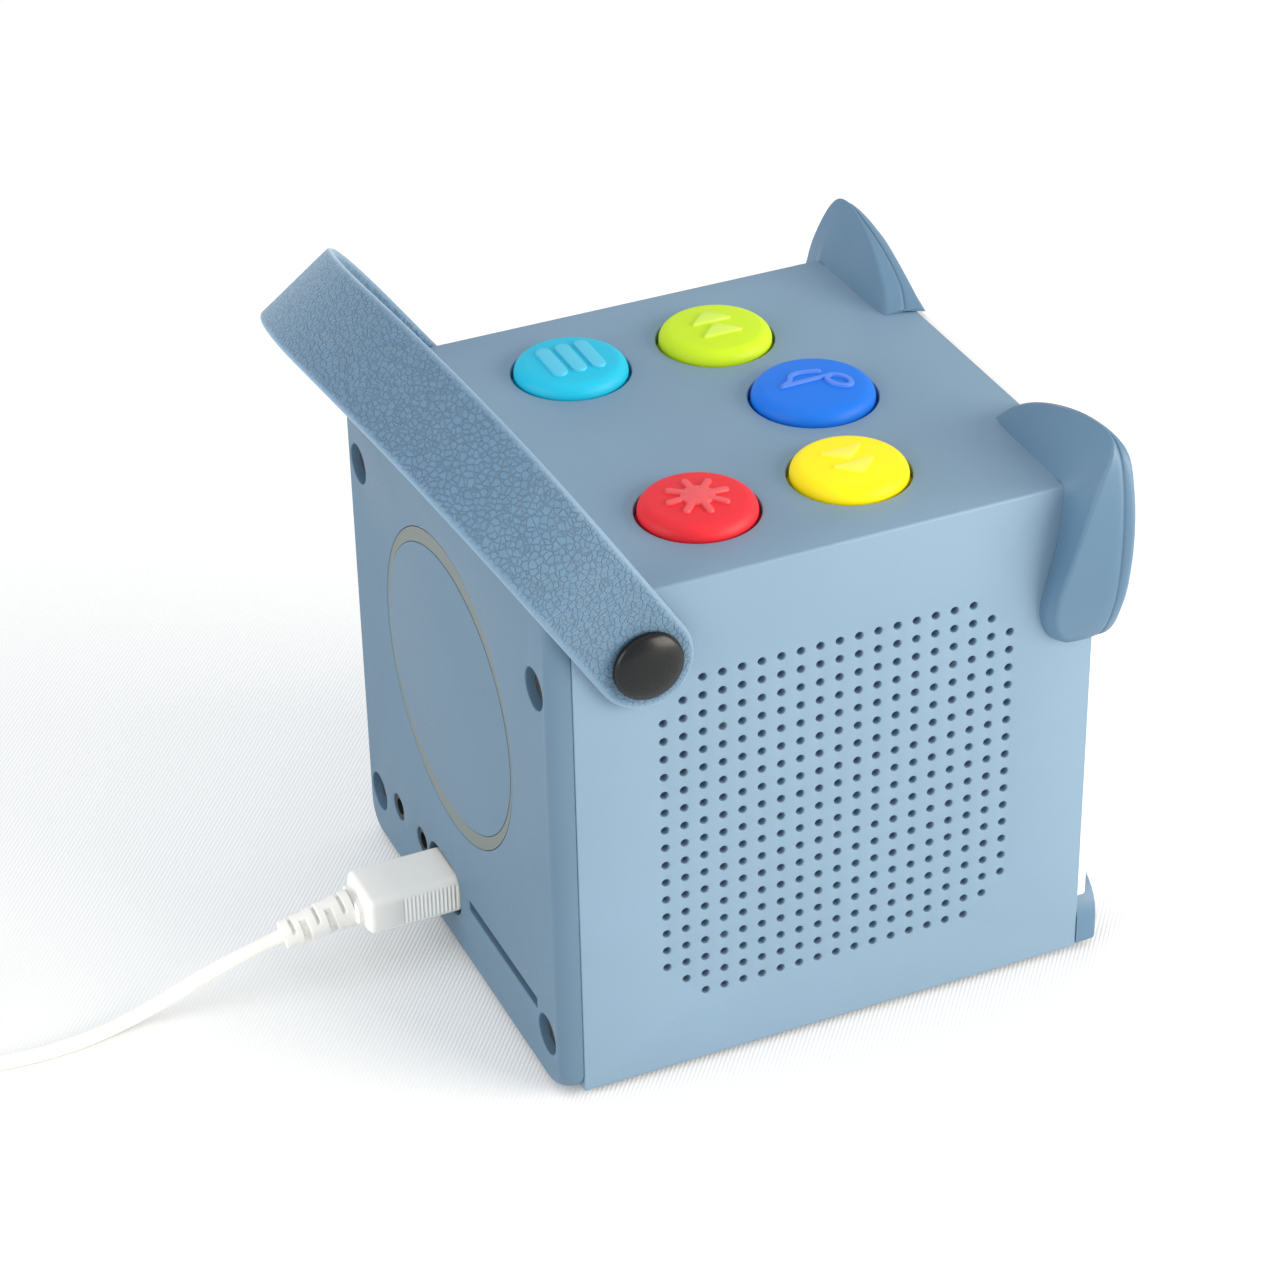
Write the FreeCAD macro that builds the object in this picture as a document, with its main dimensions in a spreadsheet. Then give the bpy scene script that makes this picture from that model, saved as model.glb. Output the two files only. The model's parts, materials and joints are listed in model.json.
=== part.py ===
import FreeCAD, Part
import math
import os
from types import SimpleNamespace

import Sketcher

# Audio story player: a cube with a perforated speaker wall, five sprung buttons on top,
# cat-ear corners, a pivoting carrying strap and a charging lead.
# Millimetres. Origin: middle of the footprint on the floor. +X right seen from the front,
# the front faces -Y, +Z up. The speaker is on the -X wall.

doc = FreeCAD.newDocument("story_player")

# ---------------------------------------------------------------- driving dimensions

SIZES = {
    # shell
    "half_width": (52.0, "middle plane to a side wall's outer face"),
    "shell_bottom": (1.3, "underside of the shell, the thickness of the rubber pad"),
    "shell_top": (112.0, "outer face of the top wall"),
    "shell_front": (-57.0, "front edge of the side walls and the floor"),
    "top_front": (-54.3, "front edge of the top wall, set back for the panel's rim"),
    "seam": (52.0, "joint between the shell and the rear cover"),
    "rear": (57.0, "outer face of the rear cover"),
    "wall": (2.4, "wall of the moulded shell"),
    "pad_half_width": (43.0, "anti-slip pad under the shell, middle to side"),
    "pad_half_depth": (45.0, "anti-slip pad under the shell, middle to front"),
    "pad_corner": (12.0, "corner radius of the anti-slip pad"),
    "edge_radius": (0.8, "outer long edges of the shell"),
    "gap": (0.2, "assembly gap between two fixed mouldings"),
    "moving_gap": (0.3, "gap between a moving piece and a fixed one"),
    # front panel, ears and paws
    "panel_margin": (1.5, "shell's outline to the front panel's outline"),
    "panel_corner": (8.0, "corner radius of the front panel"),
    "panel_front": (-59.8, "outer face of the front panel"),
    "panel_rim": (1.8, "wall of the rim behind the panel"),
    "ear_foot": (76.0, "lowest point of an ear on the side wall"),
    "ear_root": (21.0, "where an ear leaves the top wall, from the middle plane"),
    "ear_tip_height": (124.0, "highest point of an ear"),
    "ear_reach": (63.4, "outermost point of an ear"),
    "ear_front": (-61.0, "front face of an ear"),
    "ear_back": (-45.0, "rearmost point of an ear, on the side wall"),
    "ear_peg_radius": (1.6, "pegs that hold an ear in the shell"),
    "paw_height": (17.0, "top of a front corner paw"),
    "paw_front": (-61.6, "front face of a paw"),
    "paw_side": (9.0, "height of a paw at the side wall"),
    "paw_inner": (27.0, "inner end of a paw, from the middle plane"),
    # rear cover
    "cover_wall": (2.6, "plate of the rear cover"),
    "cover_corner": (2.5, "rounded long edges of the rear cover"),
    "cover_roll": (2.4, "rounding between the rear cover's face and its sides"),
    "screw_x": (45.4, "rear screws from the middle plane"),
    "screw_low": (12.5, "height of the lower rear screws"),
    "screw_high": (92.9, "height of the upper rear screws"),
    "recess_radius": (4.2, "screw recess in the rear cover"),
    "recess_floor": (53.6, "seat of the rear screws' heads"),
    "well_wall": (1.3, "wall of the wells round the rear screws"),
    "post_front": (43.2, "front end of the shell's posts for the rear screws"),
    "post_radius": (4.0, "screw posts of the shell"),
    "badge_height": (65.8, "centre of the round insert on the rear cover"),
    "badge_radius": (32.6, "outer radius of the insert's ring"),
    "badge_depth": (1.1, "depth of the insert in the cover"),
    "disc_half_width": (31.8, "insert's disc from its centre to the side"),
    "disc_half_height": (28.9, "insert's disc from its centre to the top"),
    "jack_one_x": (33.7, "outer headphone jack"),
    "jack_two_x": (20.3, "inner headphone jack"),
    "jack_height": (16.1, "axis of the headphone jacks"),
    "jack_hole": (3.0, "radius of the cover's jack holes"),
    "jack_nose": (2.8, "radius of a jack's nose in its hole"),
    "usb_x": (8.0, "middle of the charging socket"),
    "usb_height": (14.65, "height of the charging socket"),
    "usb_hole_width": (17.2, "opening round the charging plug"),
    "usb_hole_height": (11.6, "opening round the charging plug"),
    "usb_hole_corner": (5.0, "corner radius of that opening"),
    "card_left": (-41.0, "one end of the card slot"),
    "card_right": (-5.8, "other end of the card slot"),
    "card_height": (17.1, "middle of the card slot"),
    "card_slot": (2.5, "height of the card slot"),
    # buttons
    "cap_radius": (11.45, "four small button caps"),
    "big_cap_radius": (12.3, "cap of the music button"),
    "cap_gap": (0.6, "gap round a cap in the top wall"),
    "cap_rise": (2.3, "middle of a cap above the top wall"),
    "cap_flange": (1.5, "flange under the top wall beyond the cap's side"),
    "cap_wall": (1.6, "wall of a cap"),
    "stem_radius": (3.2, "stem that presses the dome"),
    "button_side": (29.9, "outer buttons from the middle plane"),
    "button_rear_row": (16.5, "rear pair of buttons"),
    "button_front_row": (-15.1, "front pair of buttons"),
    "button_music_row": (-22.3, "music button"),
    "board_thickness": (1.6, "all circuit boards"),
    "button_board_top": (101.6, "upper face of the button board"),
    "dome_radius": (7.2, "base of a rubber dome"),
    "dome_height": (4.35, "height of a rubber dome"),
    # carrying strap
    "strap_pin_y": (38.3, "strap pivot axis"),
    "strap_pin_z": (98.5, "strap pivot axis"),
    "strap_lean": (35.9, "degrees that the strap leans back from upright"),
    "strap_width": (19.2, "strap across its broad face"),
    "strap_thickness": (2.4, "strap through its thickness"),
    "strap_leg": (22.0, "straight leg above the pivot"),
    "strap_side_radius": (36.0, "bend at each shoulder of the strap"),
    "strap_turn": (54.3, "degrees turned by each shoulder bend"),
    "pin_radius": (2.5, "shank of a strap pin"),
    "pin_running_gap": (0.05, "radial gap of the pin in the strap"),
    "pin_head_radius": (7.0, "domed head of a strap pin"),
    "pin_head_height": (3.0, "domed head of a strap pin"),
    "pin_inner_end": (45.4, "inner end of a strap pin"),
    # speaker
    "grille_pitch": (4.04, "speaker grille, from hole to hole"),
    "grille_hole": (0.95, "radius of a hole of the speaker grille"),
    "speaker_y": (-2.3, "centre of the speaker and its grille"),
    "speaker_z": (54.1, "centre of the speaker and its grille"),
    "speaker_radius": (37.0, "flange of the speaker's basket"),
    "speaker_screw_circle": (34.3, "radius of the speaker's screw circle"),
    "gasket_thickness": (1.2, "foam ring behind the grille"),
    "cone_radius": (29.0, "outer radius of the speaker cone's surround"),
    "magnet_radius": (20.0, "speaker magnet"),
    # inner boards and battery
    "main_board_top": (13.3, "upper face of the main board"),
    "main_board_half": (40.0, "main board from the middle plane"),
    "main_board_front": (12.0, "front edge of the main board"),
    "main_board_rear": (51.5, "rear edge of the main board"),
    "small_screw": (1.1, "shank radius of the small screws"),
    "rear_screw": (1.4, "shank radius of the rear screws"),
    "led_board_rear": (-49.0, "rear face of the light board"),
    "battery_y": (-30.0, "axis of the battery cell"),
    "battery_radius": (9.2, "battery cell"),
    "battery_half": (32.5, "half length of the battery cell"),
    "battery_pad_height": (0.8, "foam pad under the battery holder"),
    # charging lead
    "plug_length": (18.5, "moulded grip of the charging plug"),
    "plug_width": (11.0, "moulded grip of the charging plug"),
    "plug_height": (7.8, "moulded grip of the charging plug"),
    "plug_start": (57.6, "front face of the plug's grip"),
    "relief_length": (14.75, "ribbed strain relief"),
    "relief_tilt": (12.0, "degrees that the strain relief hangs down"),
    "cable_radius": (1.5, "charging cable"),
    "cable_length": (1000.0, "charging cable from relief to relief"),
    "coil_x": (28.5, "middle of the coiled cable"),
    "coil_y": (188.0, "middle of the coiled cable"),
    "coil_radius": (16.5, "middle of the coil's turns"),
    "coil_layers": (3.0, "turns side by side, and on top of each other"),
}

sheet = doc.addObject("Spreadsheet::Sheet", "Sizes")
for row, (name, (number, meaning)) in enumerate(SIZES.items(), start=1):
    sheet.set(f"A{row}", meaning)
    sheet.set(f"B{row}", str(number))
    sheet.setAlias(f"B{row}", name)
doc.recompute()


class Size:
    """A number together with the spreadsheet expression that gives it."""

    def __init__(self, value, text):
        self.value = value
        self.text = text

    def __add__(self, other):
        other = as_size(other)
        return Size(self.value + other.value, f"({self.text} + {other.text})")

    def __sub__(self, other):
        other = as_size(other)
        return Size(self.value - other.value, f"({self.text} - {other.text})")

    def __mul__(self, other):
        other = as_size(other)
        return Size(self.value * other.value, f"({self.text} * {other.text})")

    def __truediv__(self, other):
        other = as_size(other)
        return Size(self.value / other.value, f"({self.text} / {other.text})")

    def __radd__(self, other):
        return as_size(other) + self

    def __rsub__(self, other):
        return as_size(other) - self

    def __rmul__(self, other):
        return as_size(other) * self

    def __neg__(self):
        return Size(-self.value, f"(-1 * {self.text})")


def as_size(value):
    return value if isinstance(value, Size) else Size(float(value), f"({float(value)})")


def cosine(angle):
    return Size(math.cos(math.radians(angle.value)), f"cos({angle.text})")


def sine(angle):
    return Size(math.sin(math.radians(angle.value)), f"sin({angle.text})")


S = SimpleNamespace(**{name: Size(number, f"Sizes.{name}") for name, (number, _) in SIZES.items()})

# ---------------------------------------------------------------- building blocks

HALF_DIAGONAL = math.sqrt(0.5)
# Rotation that takes local +Z to the named direction.
DIRECTIONS = {
    "+x": ((0, 1, 0), 90),
    "-x": ((0, 1, 0), -90),
    "+y": ((1, 0, 0), -90),
    "-y": ((1, 0, 0), 90),
    "+z": ((0, 0, 1), 0),
    "-z": ((1, 0, 0), 180),
}
node_objects = []


def place(item, x=0, y=0, z=0, direction="+z"):
    """Move an object's origin to x, y, z and turn its +Z to the named direction."""
    axis, angle = DIRECTIONS[direction]
    x, y, z = as_size(x), as_size(y), as_size(z)
    item.Placement = FreeCAD.Placement(
        FreeCAD.Vector(x.value, y.value, z.value), FreeCAD.Rotation(FreeCAD.Vector(*axis), angle))
    for name, size in (("x", x), ("y", y), ("z", z)):
        item.setExpression(f"Placement.Base.{name}", size.text)
    return item


def add(kind, label):
    item = doc.addObject(kind, label)
    item.Label = label
    return item


def box(label, x_range, y_range, z_range):
    item = add("Part::Box", label)
    for name, (low, high) in (("Length", x_range), ("Width", y_range), ("Height", z_range)):
        item.setExpression(name, (as_size(high) - low).text)
    return place(item, x_range[0], y_range[0], z_range[0])


def cylinder(label, radius, length, at, direction="+z"):
    item = add("Part::Cylinder", label)
    item.setExpression("Radius", as_size(radius).text)
    item.setExpression("Height", as_size(length).text)
    return place(item, *at, direction)


def octagon(label, radius, length, at, direction="+z", sides=8):
    """Eight-sided prism, corners on the radius, for the many small bosses, pegs and fasteners."""
    item = add("Part::Prism", label)
    item.Polygon = sides
    item.setExpression("Circumradius", as_size(radius).text)
    item.setExpression("Height", as_size(length).text)
    return place(item, *at, direction)


def fuse(label, pieces):
    item = add("Part::MultiFuse", label)
    item.Shapes = pieces
    item.Refine = True
    return item


def cut(label, base, tools):
    item = add("Part::Cut", label)
    item.Base = base
    item.Tool = tools[0] if len(tools) == 1 else fuse(f"{label}_tools", tools)
    item.Refine = True
    return item


def common(label, first, second):
    item = add("Part::MultiCommon", label)
    item.Shapes = [first, second]
    item.Refine = True
    return item


def group(label, pieces):
    """Separate solids that share one node."""
    item = add("Part::Compound", label)
    item.Links = pieces
    return item


def node(item):
    """Hand an object in as a sub-part; its label is the node's name."""
    node_objects.append(item)
    return item


def fix_point(sketch, geometry, position, x, y):
    """Tie a sketch point to the sheet, as distances from the sketch's origin."""
    for kind, size, axis in (("DistanceX", x, -2), ("DistanceY", y, -1)):
        if size.value == 0:
            sketch.addConstraint(Sketcher.Constraint("PointOnObject", geometry, position, axis))
        else:
            index = sketch.addConstraint(
                Sketcher.Constraint(kind, -1, 1, geometry, position, size.value))
            sketch.setExpression(f"Constraints[{index}]", size.text)


def draw(sketch, points):
    """Draw a closed outline. A point is (x, y), or (x, y, via_x, via_y) when an arc through
    the via point leads to it from the point before."""
    points = [tuple(as_size(part) for part in point) for point in points]
    count = len(points)
    for index, point in enumerate(points):
        start = points[index - 1]
        first = FreeCAD.Vector(start[0].value, start[1].value, 0)
        last = FreeCAD.Vector(point[0].value, point[1].value, 0)
        if len(point) == 2:
            sketch.addGeometry(Part.LineSegment(first, last), False)
        else:
            via = FreeCAD.Vector(point[2].value, point[3].value, 0)
            anticlockwise = (via - first).cross(last - via).z > 0
            ends = (first, last) if anticlockwise else (last, first)
            sketch.addGeometry(Part.Arc(ends[0], via, ends[1]), False)
    for index, point in enumerate(points):
        end_position = end_of(sketch, index, point)
        fix_point(sketch, index, end_position, point[0], point[1])
        following = (index + 1) % count
        start_position = 3 - end_of(sketch, following, points[following])
        sketch.addConstraint(
            Sketcher.Constraint("Coincident", index, end_position, following, start_position))
        if len(point) == 4:
            marker = sketch.addGeometry(Part.Point(
                FreeCAD.Vector(point[2].value, point[3].value, 0)), True)
            sketch.addConstraint(Sketcher.Constraint("PointOnObject", marker, 1, index))
            fix_point(sketch, marker, 1, point[2], point[3])


def end_of(sketch, index, point):
    """1 or 2: which end of a sketch edge lies at the given point, as arcs run anticlockwise."""
    edge = sketch.Geometry[index]
    target = FreeCAD.Vector(point[0].value, point[1].value, 0)
    return 1 if edge.StartPoint.distanceToPoint(target) < edge.EndPoint.distanceToPoint(target) else 2


def sketch_on(body, plane, offset=0):
    """A sketch on one of the body's origin planes, moved along the plane's normal."""
    sketch = body.newObject("Sketcher::SketchObject", f"{body.Label}_sketch")
    feature = next(item for item in body.Origin.OriginFeatures if item.Role == plane)
    sketch.AttachmentSupport = [(feature, "")]
    sketch.MapMode = "FlatFace"
    sketch.setExpression("AttachmentOffset.Base.z", as_size(offset).text)
    return sketch


def prism(label, plane, points, low, high):
    """Solid with the outline drawn on an origin plane, from low to high along the third axis.
    Outline coordinates are (X, Y), (X, Z) or (Y, Z)."""
    body = add("PartDesign::Body", label)
    low, high = as_size(low), as_size(high)
    backward = plane == "XZ_Plane"
    sketch = sketch_on(body, plane, -high if backward else low)
    draw(sketch, points)
    pad = body.newObject("PartDesign::Pad", f"{label}_pad")
    pad.Profile = sketch
    pad.setExpression("Length", (high - low).text)
    body.Tip = pad
    return body


def rolled(body, radius, chosen):
    """Round those edges of a body whose ends both pass the test."""
    doc.recompute()
    solid = body.Tip
    names = [f"Edge{i}" for i, edge in enumerate(solid.Shape.Edges, 1)
             if all(chosen(corner.Point) for corner in edge.Vertexes)]
    fillet = body.newObject("PartDesign::Fillet", f"{body.Label}_roll")
    fillet.Base = (solid, names)
    fillet.setExpression("Radius", as_size(radius).text)
    body.Tip = fillet
    return body


def turned(label, points, at=(0, 0, 0), direction="+z"):
    """Solid of revolution about its own Z axis from (radius, height) points."""
    body = add("PartDesign::Body", label)
    sketch = sketch_on(body, "XZ_Plane")
    draw(sketch, points)
    revolution = body.newObject("PartDesign::Revolution", f"{label}_turn")
    revolution.Profile = sketch
    revolution.ReferenceAxis = (sketch, ["V_Axis"])
    revolution.Angle = 360
    body.Tip = revolution
    return place(body, *at, direction)


def rounded(left, right, bottom, top, radius):
    """Outline of a rectangle with rounded corners."""
    left, right, bottom, top, radius = (as_size(v) for v in (left, right, bottom, top, radius))
    bulge = radius * (1 - HALF_DIAGONAL)
    return [
        (right - radius, bottom),
        (right, bottom + radius, right - bulge, bottom + bulge),
        (right, top - radius),
        (right - radius, top, right - bulge, top - bulge),
        (left + radius, top),
        (left, top - radius, left + bulge, top - bulge),
        (left, bottom + radius),
        (left + radius, bottom, left + bulge, bottom + bulge),
    ]


def mirror_image(label, source):
    """The same piece for the other side of the middle plane."""
    item = add("Part::Mirroring", label)
    item.Source = source
    item.Normal = FreeCAD.Vector(1, 0, 0)
    return item


def screw(label, head_radius, head_height, shank_radius, length, at, direction):
    """Screw whose head points in the direction from its seat at the given place."""
    inward = direction.translate(str.maketrans("+-", "-+"))
    return fuse(label, [
        octagon(f"{label}_shank", shank_radius, length, at, inward),
        octagon(f"{label}_head", head_radius, head_height, at, direction),
    ])


# ---------------------------------------------------------------- shared values

inner_half = S.half_width - S.wall
inner_floor = S.shell_bottom + S.wall
inner_top = S.shell_top - S.wall
SIDES = (("left", -1), ("right", 1))

BUTTONS = {
    "list_button": (S.button_side, S.button_rear_row, S.cap_radius),
    "light_button": (-S.button_side, S.button_rear_row, S.cap_radius),
    "next_button": (S.button_side, S.button_front_row, S.cap_radius),
    "previous_button": (-S.button_side, S.button_front_row, S.cap_radius),
    "music_button": (as_size(0), S.button_music_row, S.big_cap_radius),
}
REAR_SCREWS = [(side * S.screw_x, height) for side in (-1, 1) for height in (S.screw_low, S.screw_high)]
BUTTON_BOARD_SCREWS = [(-44.0, 0.5), (44.0, 0.5), (0.0, 26.5), (0.0, -40.5)]
MAIN_BOARD_SCREWS = [(-36.0, 16.0), (36.0, 16.0), (0.4, 46.0), (27.0, 33.0)]
SPEAKER_SCREWS = [
    (S.speaker_y + y_sign * HALF_DIAGONAL * S.speaker_screw_circle,
     S.speaker_z + z_sign * HALF_DIAGONAL * S.speaker_screw_circle)
    for y_sign in (-1, 1) for z_sign in (-1, 1)]
BOSS_RADIUS = 3.1
PEG_HOLE_GAP = 0.1
PILOT_GAP = 0.02
well_end = S.seam + 0.05
EAR_PEGS = {"side": 96.0, "top": 40.0}
EAR_PEG_Y = -52.5
EAR_PEG_LENGTH = 3.2


def build_main_shell():
    outer = prism(
        "shell_outer", "XZ_Plane",
        rounded(-S.half_width, S.half_width, S.shell_bottom, S.shell_top, S.edge_radius),
        S.shell_front, S.seam)
    cavity = box("shell_cavity", (-inner_half, inner_half), (S.shell_front - 1, S.seam + 1),
                 (inner_floor, inner_top))
    front_notch = box("shell_front_notch", (-inner_half, inner_half), (S.shell_front - 1, S.top_front),
                      (inner_top - 1, S.shell_top + 1))
    walls = cut("shell_walls", outer, [cavity, front_notch])
    board_underside = S.main_board_top - S.board_thickness
    posts = [walls]
    for i, (x, z) in enumerate(REAR_SCREWS):
        posts.append(octagon(f"rear_post_{i}", S.post_radius, S.seam - S.gap / 2 - S.post_front,
                             (x, S.post_front, z), "+y"))
        web = 1.5
        posts.append(box(f"rear_post_web_{i}",
                         (S.half_width - S.wall - web, S.half_width - 1) if x.value > 0
                         else (1 - S.half_width, S.wall + web - S.half_width),
                         (S.post_front, S.seam - S.gap / 2), (z - web, z + web)))
    for i, (x, y) in enumerate(BUTTON_BOARD_SCREWS):
        posts.append(octagon(f"button_post_{i}", BOSS_RADIUS, inner_top + 1 - S.button_board_top,
                             (x, y, S.button_board_top)))
    for i, (x, y) in enumerate(MAIN_BOARD_SCREWS):
        posts.append(octagon(f"main_post_{i}", BOSS_RADIUS, board_underside - inner_floor + 1,
                             (x, y, inner_floor - 1)))
    for i, (y, z) in enumerate(SPEAKER_SCREWS):
        posts.append(octagon(f"speaker_post_{i}", BOSS_RADIUS, S.gasket_thickness + 1,
                             (-inner_half - 1, y, z), "+x"))
    solid = fuse("shell_with_posts", posts)
    pilot = S.small_screw + PILOT_GAP
    holes = []
    for name, (x, y, radius) in BUTTONS.items():
        holes.append(cylinder(f"{name}_hole", radius + S.cap_gap, S.wall + 2, (x, y, inner_top - 1)))
    for name, side in SIDES:
        holes.append(cylinder(f"{name}_pin_hole", S.pin_radius + 0.1, S.wall + 2,
                              (side * (inner_half - 1), S.strap_pin_y, S.strap_pin_z),
                              "+x" if side > 0 else "-x"))
        holes.append(octagon(f"{name}_ear_side_hole", S.ear_peg_radius + PEG_HOLE_GAP, S.wall + 2,
                             (side * (inner_half - 1), EAR_PEG_Y, EAR_PEGS["side"]),
                             "+x" if side > 0 else "-x"))
        holes.append(octagon(f"{name}_ear_top_hole", S.ear_peg_radius + PEG_HOLE_GAP, S.wall + 2,
                             (side * EAR_PEGS["top"], EAR_PEG_Y, inner_top - 1)))
    for i, (x, z) in enumerate(REAR_SCREWS):
        holes.append(octagon(f"rear_pilot_{i}", S.rear_screw + PILOT_GAP, 20,
                             (x, S.post_front - 1, z), "+y"))
    for i, (x, y) in enumerate(BUTTON_BOARD_SCREWS):
        holes.append(octagon(f"button_pilot_{i}", pilot, 6.5, (x, y, S.button_board_top - 0.5)))
    for i, (x, y) in enumerate(MAIN_BOARD_SCREWS):
        holes.append(octagon(f"main_pilot_{i}", pilot, 6.5, (x, y, board_underside - 6)))
    for i, (y, z) in enumerate(SPEAKER_SCREWS):
        holes.append(octagon(f"speaker_pilot_{i}", pilot, 2.4, (-inner_half - 1.1, y, z), "+x"))
    return node(cut("main_shell", cut("shell_bored", solid, holes), [grille_holes()]))


GRILLE_COUNT = 19
GRILLE_CORNER = 2


def grille_holes():
    """Perforations of the speaker wall: a square field of holes, less the ones at its corners,
    where a hole's steps from the nearest two sides add up to less than GRILLE_CORNER."""
    steps = [min(i, GRILLE_COUNT - 1 - i) for i in range(GRILLE_COUNT)]
    middle = (GRILLE_COUNT - 1) / 2
    holes = [
        octagon(f"grille_hole_{row}_{column}", S.grille_hole, S.wall + 2,
                (-S.half_width - 1, S.speaker_y + S.grille_pitch * (column - middle),
                 S.speaker_z + S.grille_pitch * (row - middle)), "+x", sides=6)
        for row in range(GRILLE_COUNT) for column in range(GRILLE_COUNT)
        if steps[row] + steps[column] >= GRILLE_CORNER]
    return group("grille_holes", holes)


def panel_outline(margin):
    """Outline of the front panel, grown by a margin."""
    edge = S.panel_margin - margin
    return rounded(edge - S.half_width, S.half_width - edge, S.shell_bottom + edge, S.shell_top - edge,
                   S.panel_corner + margin)


LIGHT_POSTS = [(x, z) for x in (-34.0, 34.0) for z in (28.0, 84.0)]
LIGHT_PEG_RADIUS = 1.3


def build_front_panel():
    """White light-diffusing panel with a rim that slides into the shell and four board posts."""
    plate = prism("front_plate", "XZ_Plane", panel_outline(0), S.panel_front, S.shell_front - S.gap)
    rim_half = inner_half - S.gap
    rim_corner = S.panel_corner - (S.half_width - S.panel_margin - rim_half)
    rim_outer = prism("front_rim_outer", "XZ_Plane",
                      rounded(-rim_half, rim_half, inner_floor + S.gap, inner_top - S.gap, rim_corner),
                      S.shell_front - 1, S.top_front)
    rim_inner = box("front_rim_inner", (S.panel_rim - rim_half, rim_half - S.panel_rim),
                    (S.shell_front, S.top_front + 1),
                    (inner_floor + S.gap + S.panel_rim, inner_top - S.gap - S.panel_rim))
    rim = cut("front_rim", rim_outer, [rim_inner])
    board_front = S.led_board_rear - S.board_thickness
    pieces = [plate, rim]
    for i, (x, z) in enumerate(LIGHT_POSTS):
        pieces.append(octagon(f"light_post_{i}", BOSS_RADIUS, board_front - S.shell_front + 1,
                              (x, S.shell_front - 1, z), "+y"))
        pieces.append(octagon(f"light_peg_{i}", LIGHT_PEG_RADIUS, S.board_thickness + 1.6,
                              (x, board_front - 1, z), "+y"))
    return node(fuse("front_panel", pieces))


def build_ears():
    """Cat ears that wrap the upper front corners. Each is a leaf seen from the front, cut by a
    hollow rear curve seen from the side, less the corner that it sits on."""
    front_view = prism("ear_front_view", "XZ_Plane", [
        (-S.ear_root, S.shell_top - 3),
        (-S.ear_root, S.shell_top),
        (-48.0, S.ear_tip_height - 0.3, -34.5, 120.0),
        (-61.0, 118.5, -57.0, 123.3),
        (-58.2, 83.0, -S.ear_reach, 101.0),
        (-S.half_width, S.ear_foot, -56.0, 78.4),
        (3 - S.half_width, S.ear_foot),
        (3 - S.half_width, S.shell_top - 3),
    ], S.ear_front, S.ear_back + 1)
    side_view = prism("ear_side_view", "YZ_Plane", [
        (S.ear_front, S.ear_tip_height + 2),
        (S.ear_front, S.ear_foot - 2),
        (-53.0, S.ear_foot - 1.2),
        (S.ear_back, 88.0, -46.6, 79.5),
        (-49.0, 112.0, -46.1, 101.0),
        (-58.2, S.ear_tip_height + 2, -52.6, 118.5),
    ], -70, 70)
    leaf = common("ear_leaf", front_view, side_view)
    corner = box("ear_corner", (-S.half_width, S.half_width), (S.shell_front, -40), (60, S.shell_top))
    panel_room = prism("ear_panel_room", "XZ_Plane", panel_outline(S.gap),
                       S.ear_front - 1, S.shell_front + 1)
    body = cut("ear_body", leaf, [corner, panel_room])
    side_peg = octagon("ear_side_peg", S.ear_peg_radius, EAR_PEG_LENGTH + 1,
                       (-S.half_width - 1, EAR_PEG_Y, EAR_PEGS["side"]), "+x")
    top_peg = octagon("ear_top_peg", S.ear_peg_radius, EAR_PEG_LENGTH + 1,
                      (-EAR_PEGS["top"], EAR_PEG_Y, S.shell_top + 1), "-z")
    left = node(fuse("left_ear", [body, side_peg, top_peg]))
    node(mirror_image("right_ear", left))


def build_paws():
    """Rounded corner feet in front of the panel's lower corners."""
    lobe = prism("paw_lobe", "XZ_Plane", [
        (-S.half_width, S.shell_bottom),
        (-S.half_width, S.paw_side),
        (-44.0, S.paw_height, -49.3, 14.2),
        (-S.paw_inner, S.shell_bottom, -33.0, 12.6),
    ], S.paw_front, S.shell_front - 0.05)
    panel_room = prism("paw_panel_room", "XZ_Plane", panel_outline(S.gap / 2),
                       S.panel_front - 0.05, S.shell_front + 1)
    left = node(cut("left_paw", lobe, [panel_room]))
    node(mirror_image("right_paw", left))


def build_rear_cover():
    outer = rolled(
        prism("cover_outer", "XZ_Plane",
              rounded(-S.half_width, S.half_width, S.shell_bottom, S.shell_top, S.cover_corner),
              well_end, S.rear),
        S.cover_roll, lambda point: point.y > S.rear.value - 0.01)
    plate_inner = S.rear - S.cover_wall
    hollow = box("cover_hollow", (-inner_half, inner_half), (S.seam - 1, plate_inner),
                 (inner_floor, inner_top))
    wells = []
    bores = []
    for i, (x, z) in enumerate(REAR_SCREWS):
        wells.append(octagon(f"well_{i}", S.recess_radius + S.well_wall, plate_inner + 1 - well_end,
                             (x, well_end, z), "+y"))
        bores.append(cylinder(f"recess_{i}", S.recess_radius, 10, (x, S.recess_floor, z), "+y"))
        bores.append(octagon(f"screw_clearance_{i}", S.rear_screw + 0.2, 10, (x, well_end - 1, z), "+y"))
    body = fuse("cover_body", [cut("cover_shell", outer, [hollow]), *wells])
    badge = cylinder("badge_pocket", S.badge_radius + S.gap / 2, 10,
                     (0, S.rear - S.badge_depth, S.badge_height), "+y")
    jacks = [cylinder(f"jack_hole_{i}", S.jack_hole, 10, (x, plate_inner - 1, S.jack_height), "+y")
             for i, x in enumerate((S.jack_one_x, S.jack_two_x))]
    usb = prism("usb_hole", "XZ_Plane", rounded(
        S.usb_x - S.usb_hole_width / 2, S.usb_x + S.usb_hole_width / 2,
        S.usb_height - S.usb_hole_height / 2, S.usb_height + S.usb_hole_height / 2,
        S.usb_hole_corner), S.seam, S.rear + 1)
    card = box("card_hole", (S.card_left, S.card_right), (S.seam, S.rear + 1),
               (S.card_height - S.card_slot / 2, S.card_height + S.card_slot / 2))
    return node(cut("rear_cover", body, [*bores, badge, *jacks, usb, card]))


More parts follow.
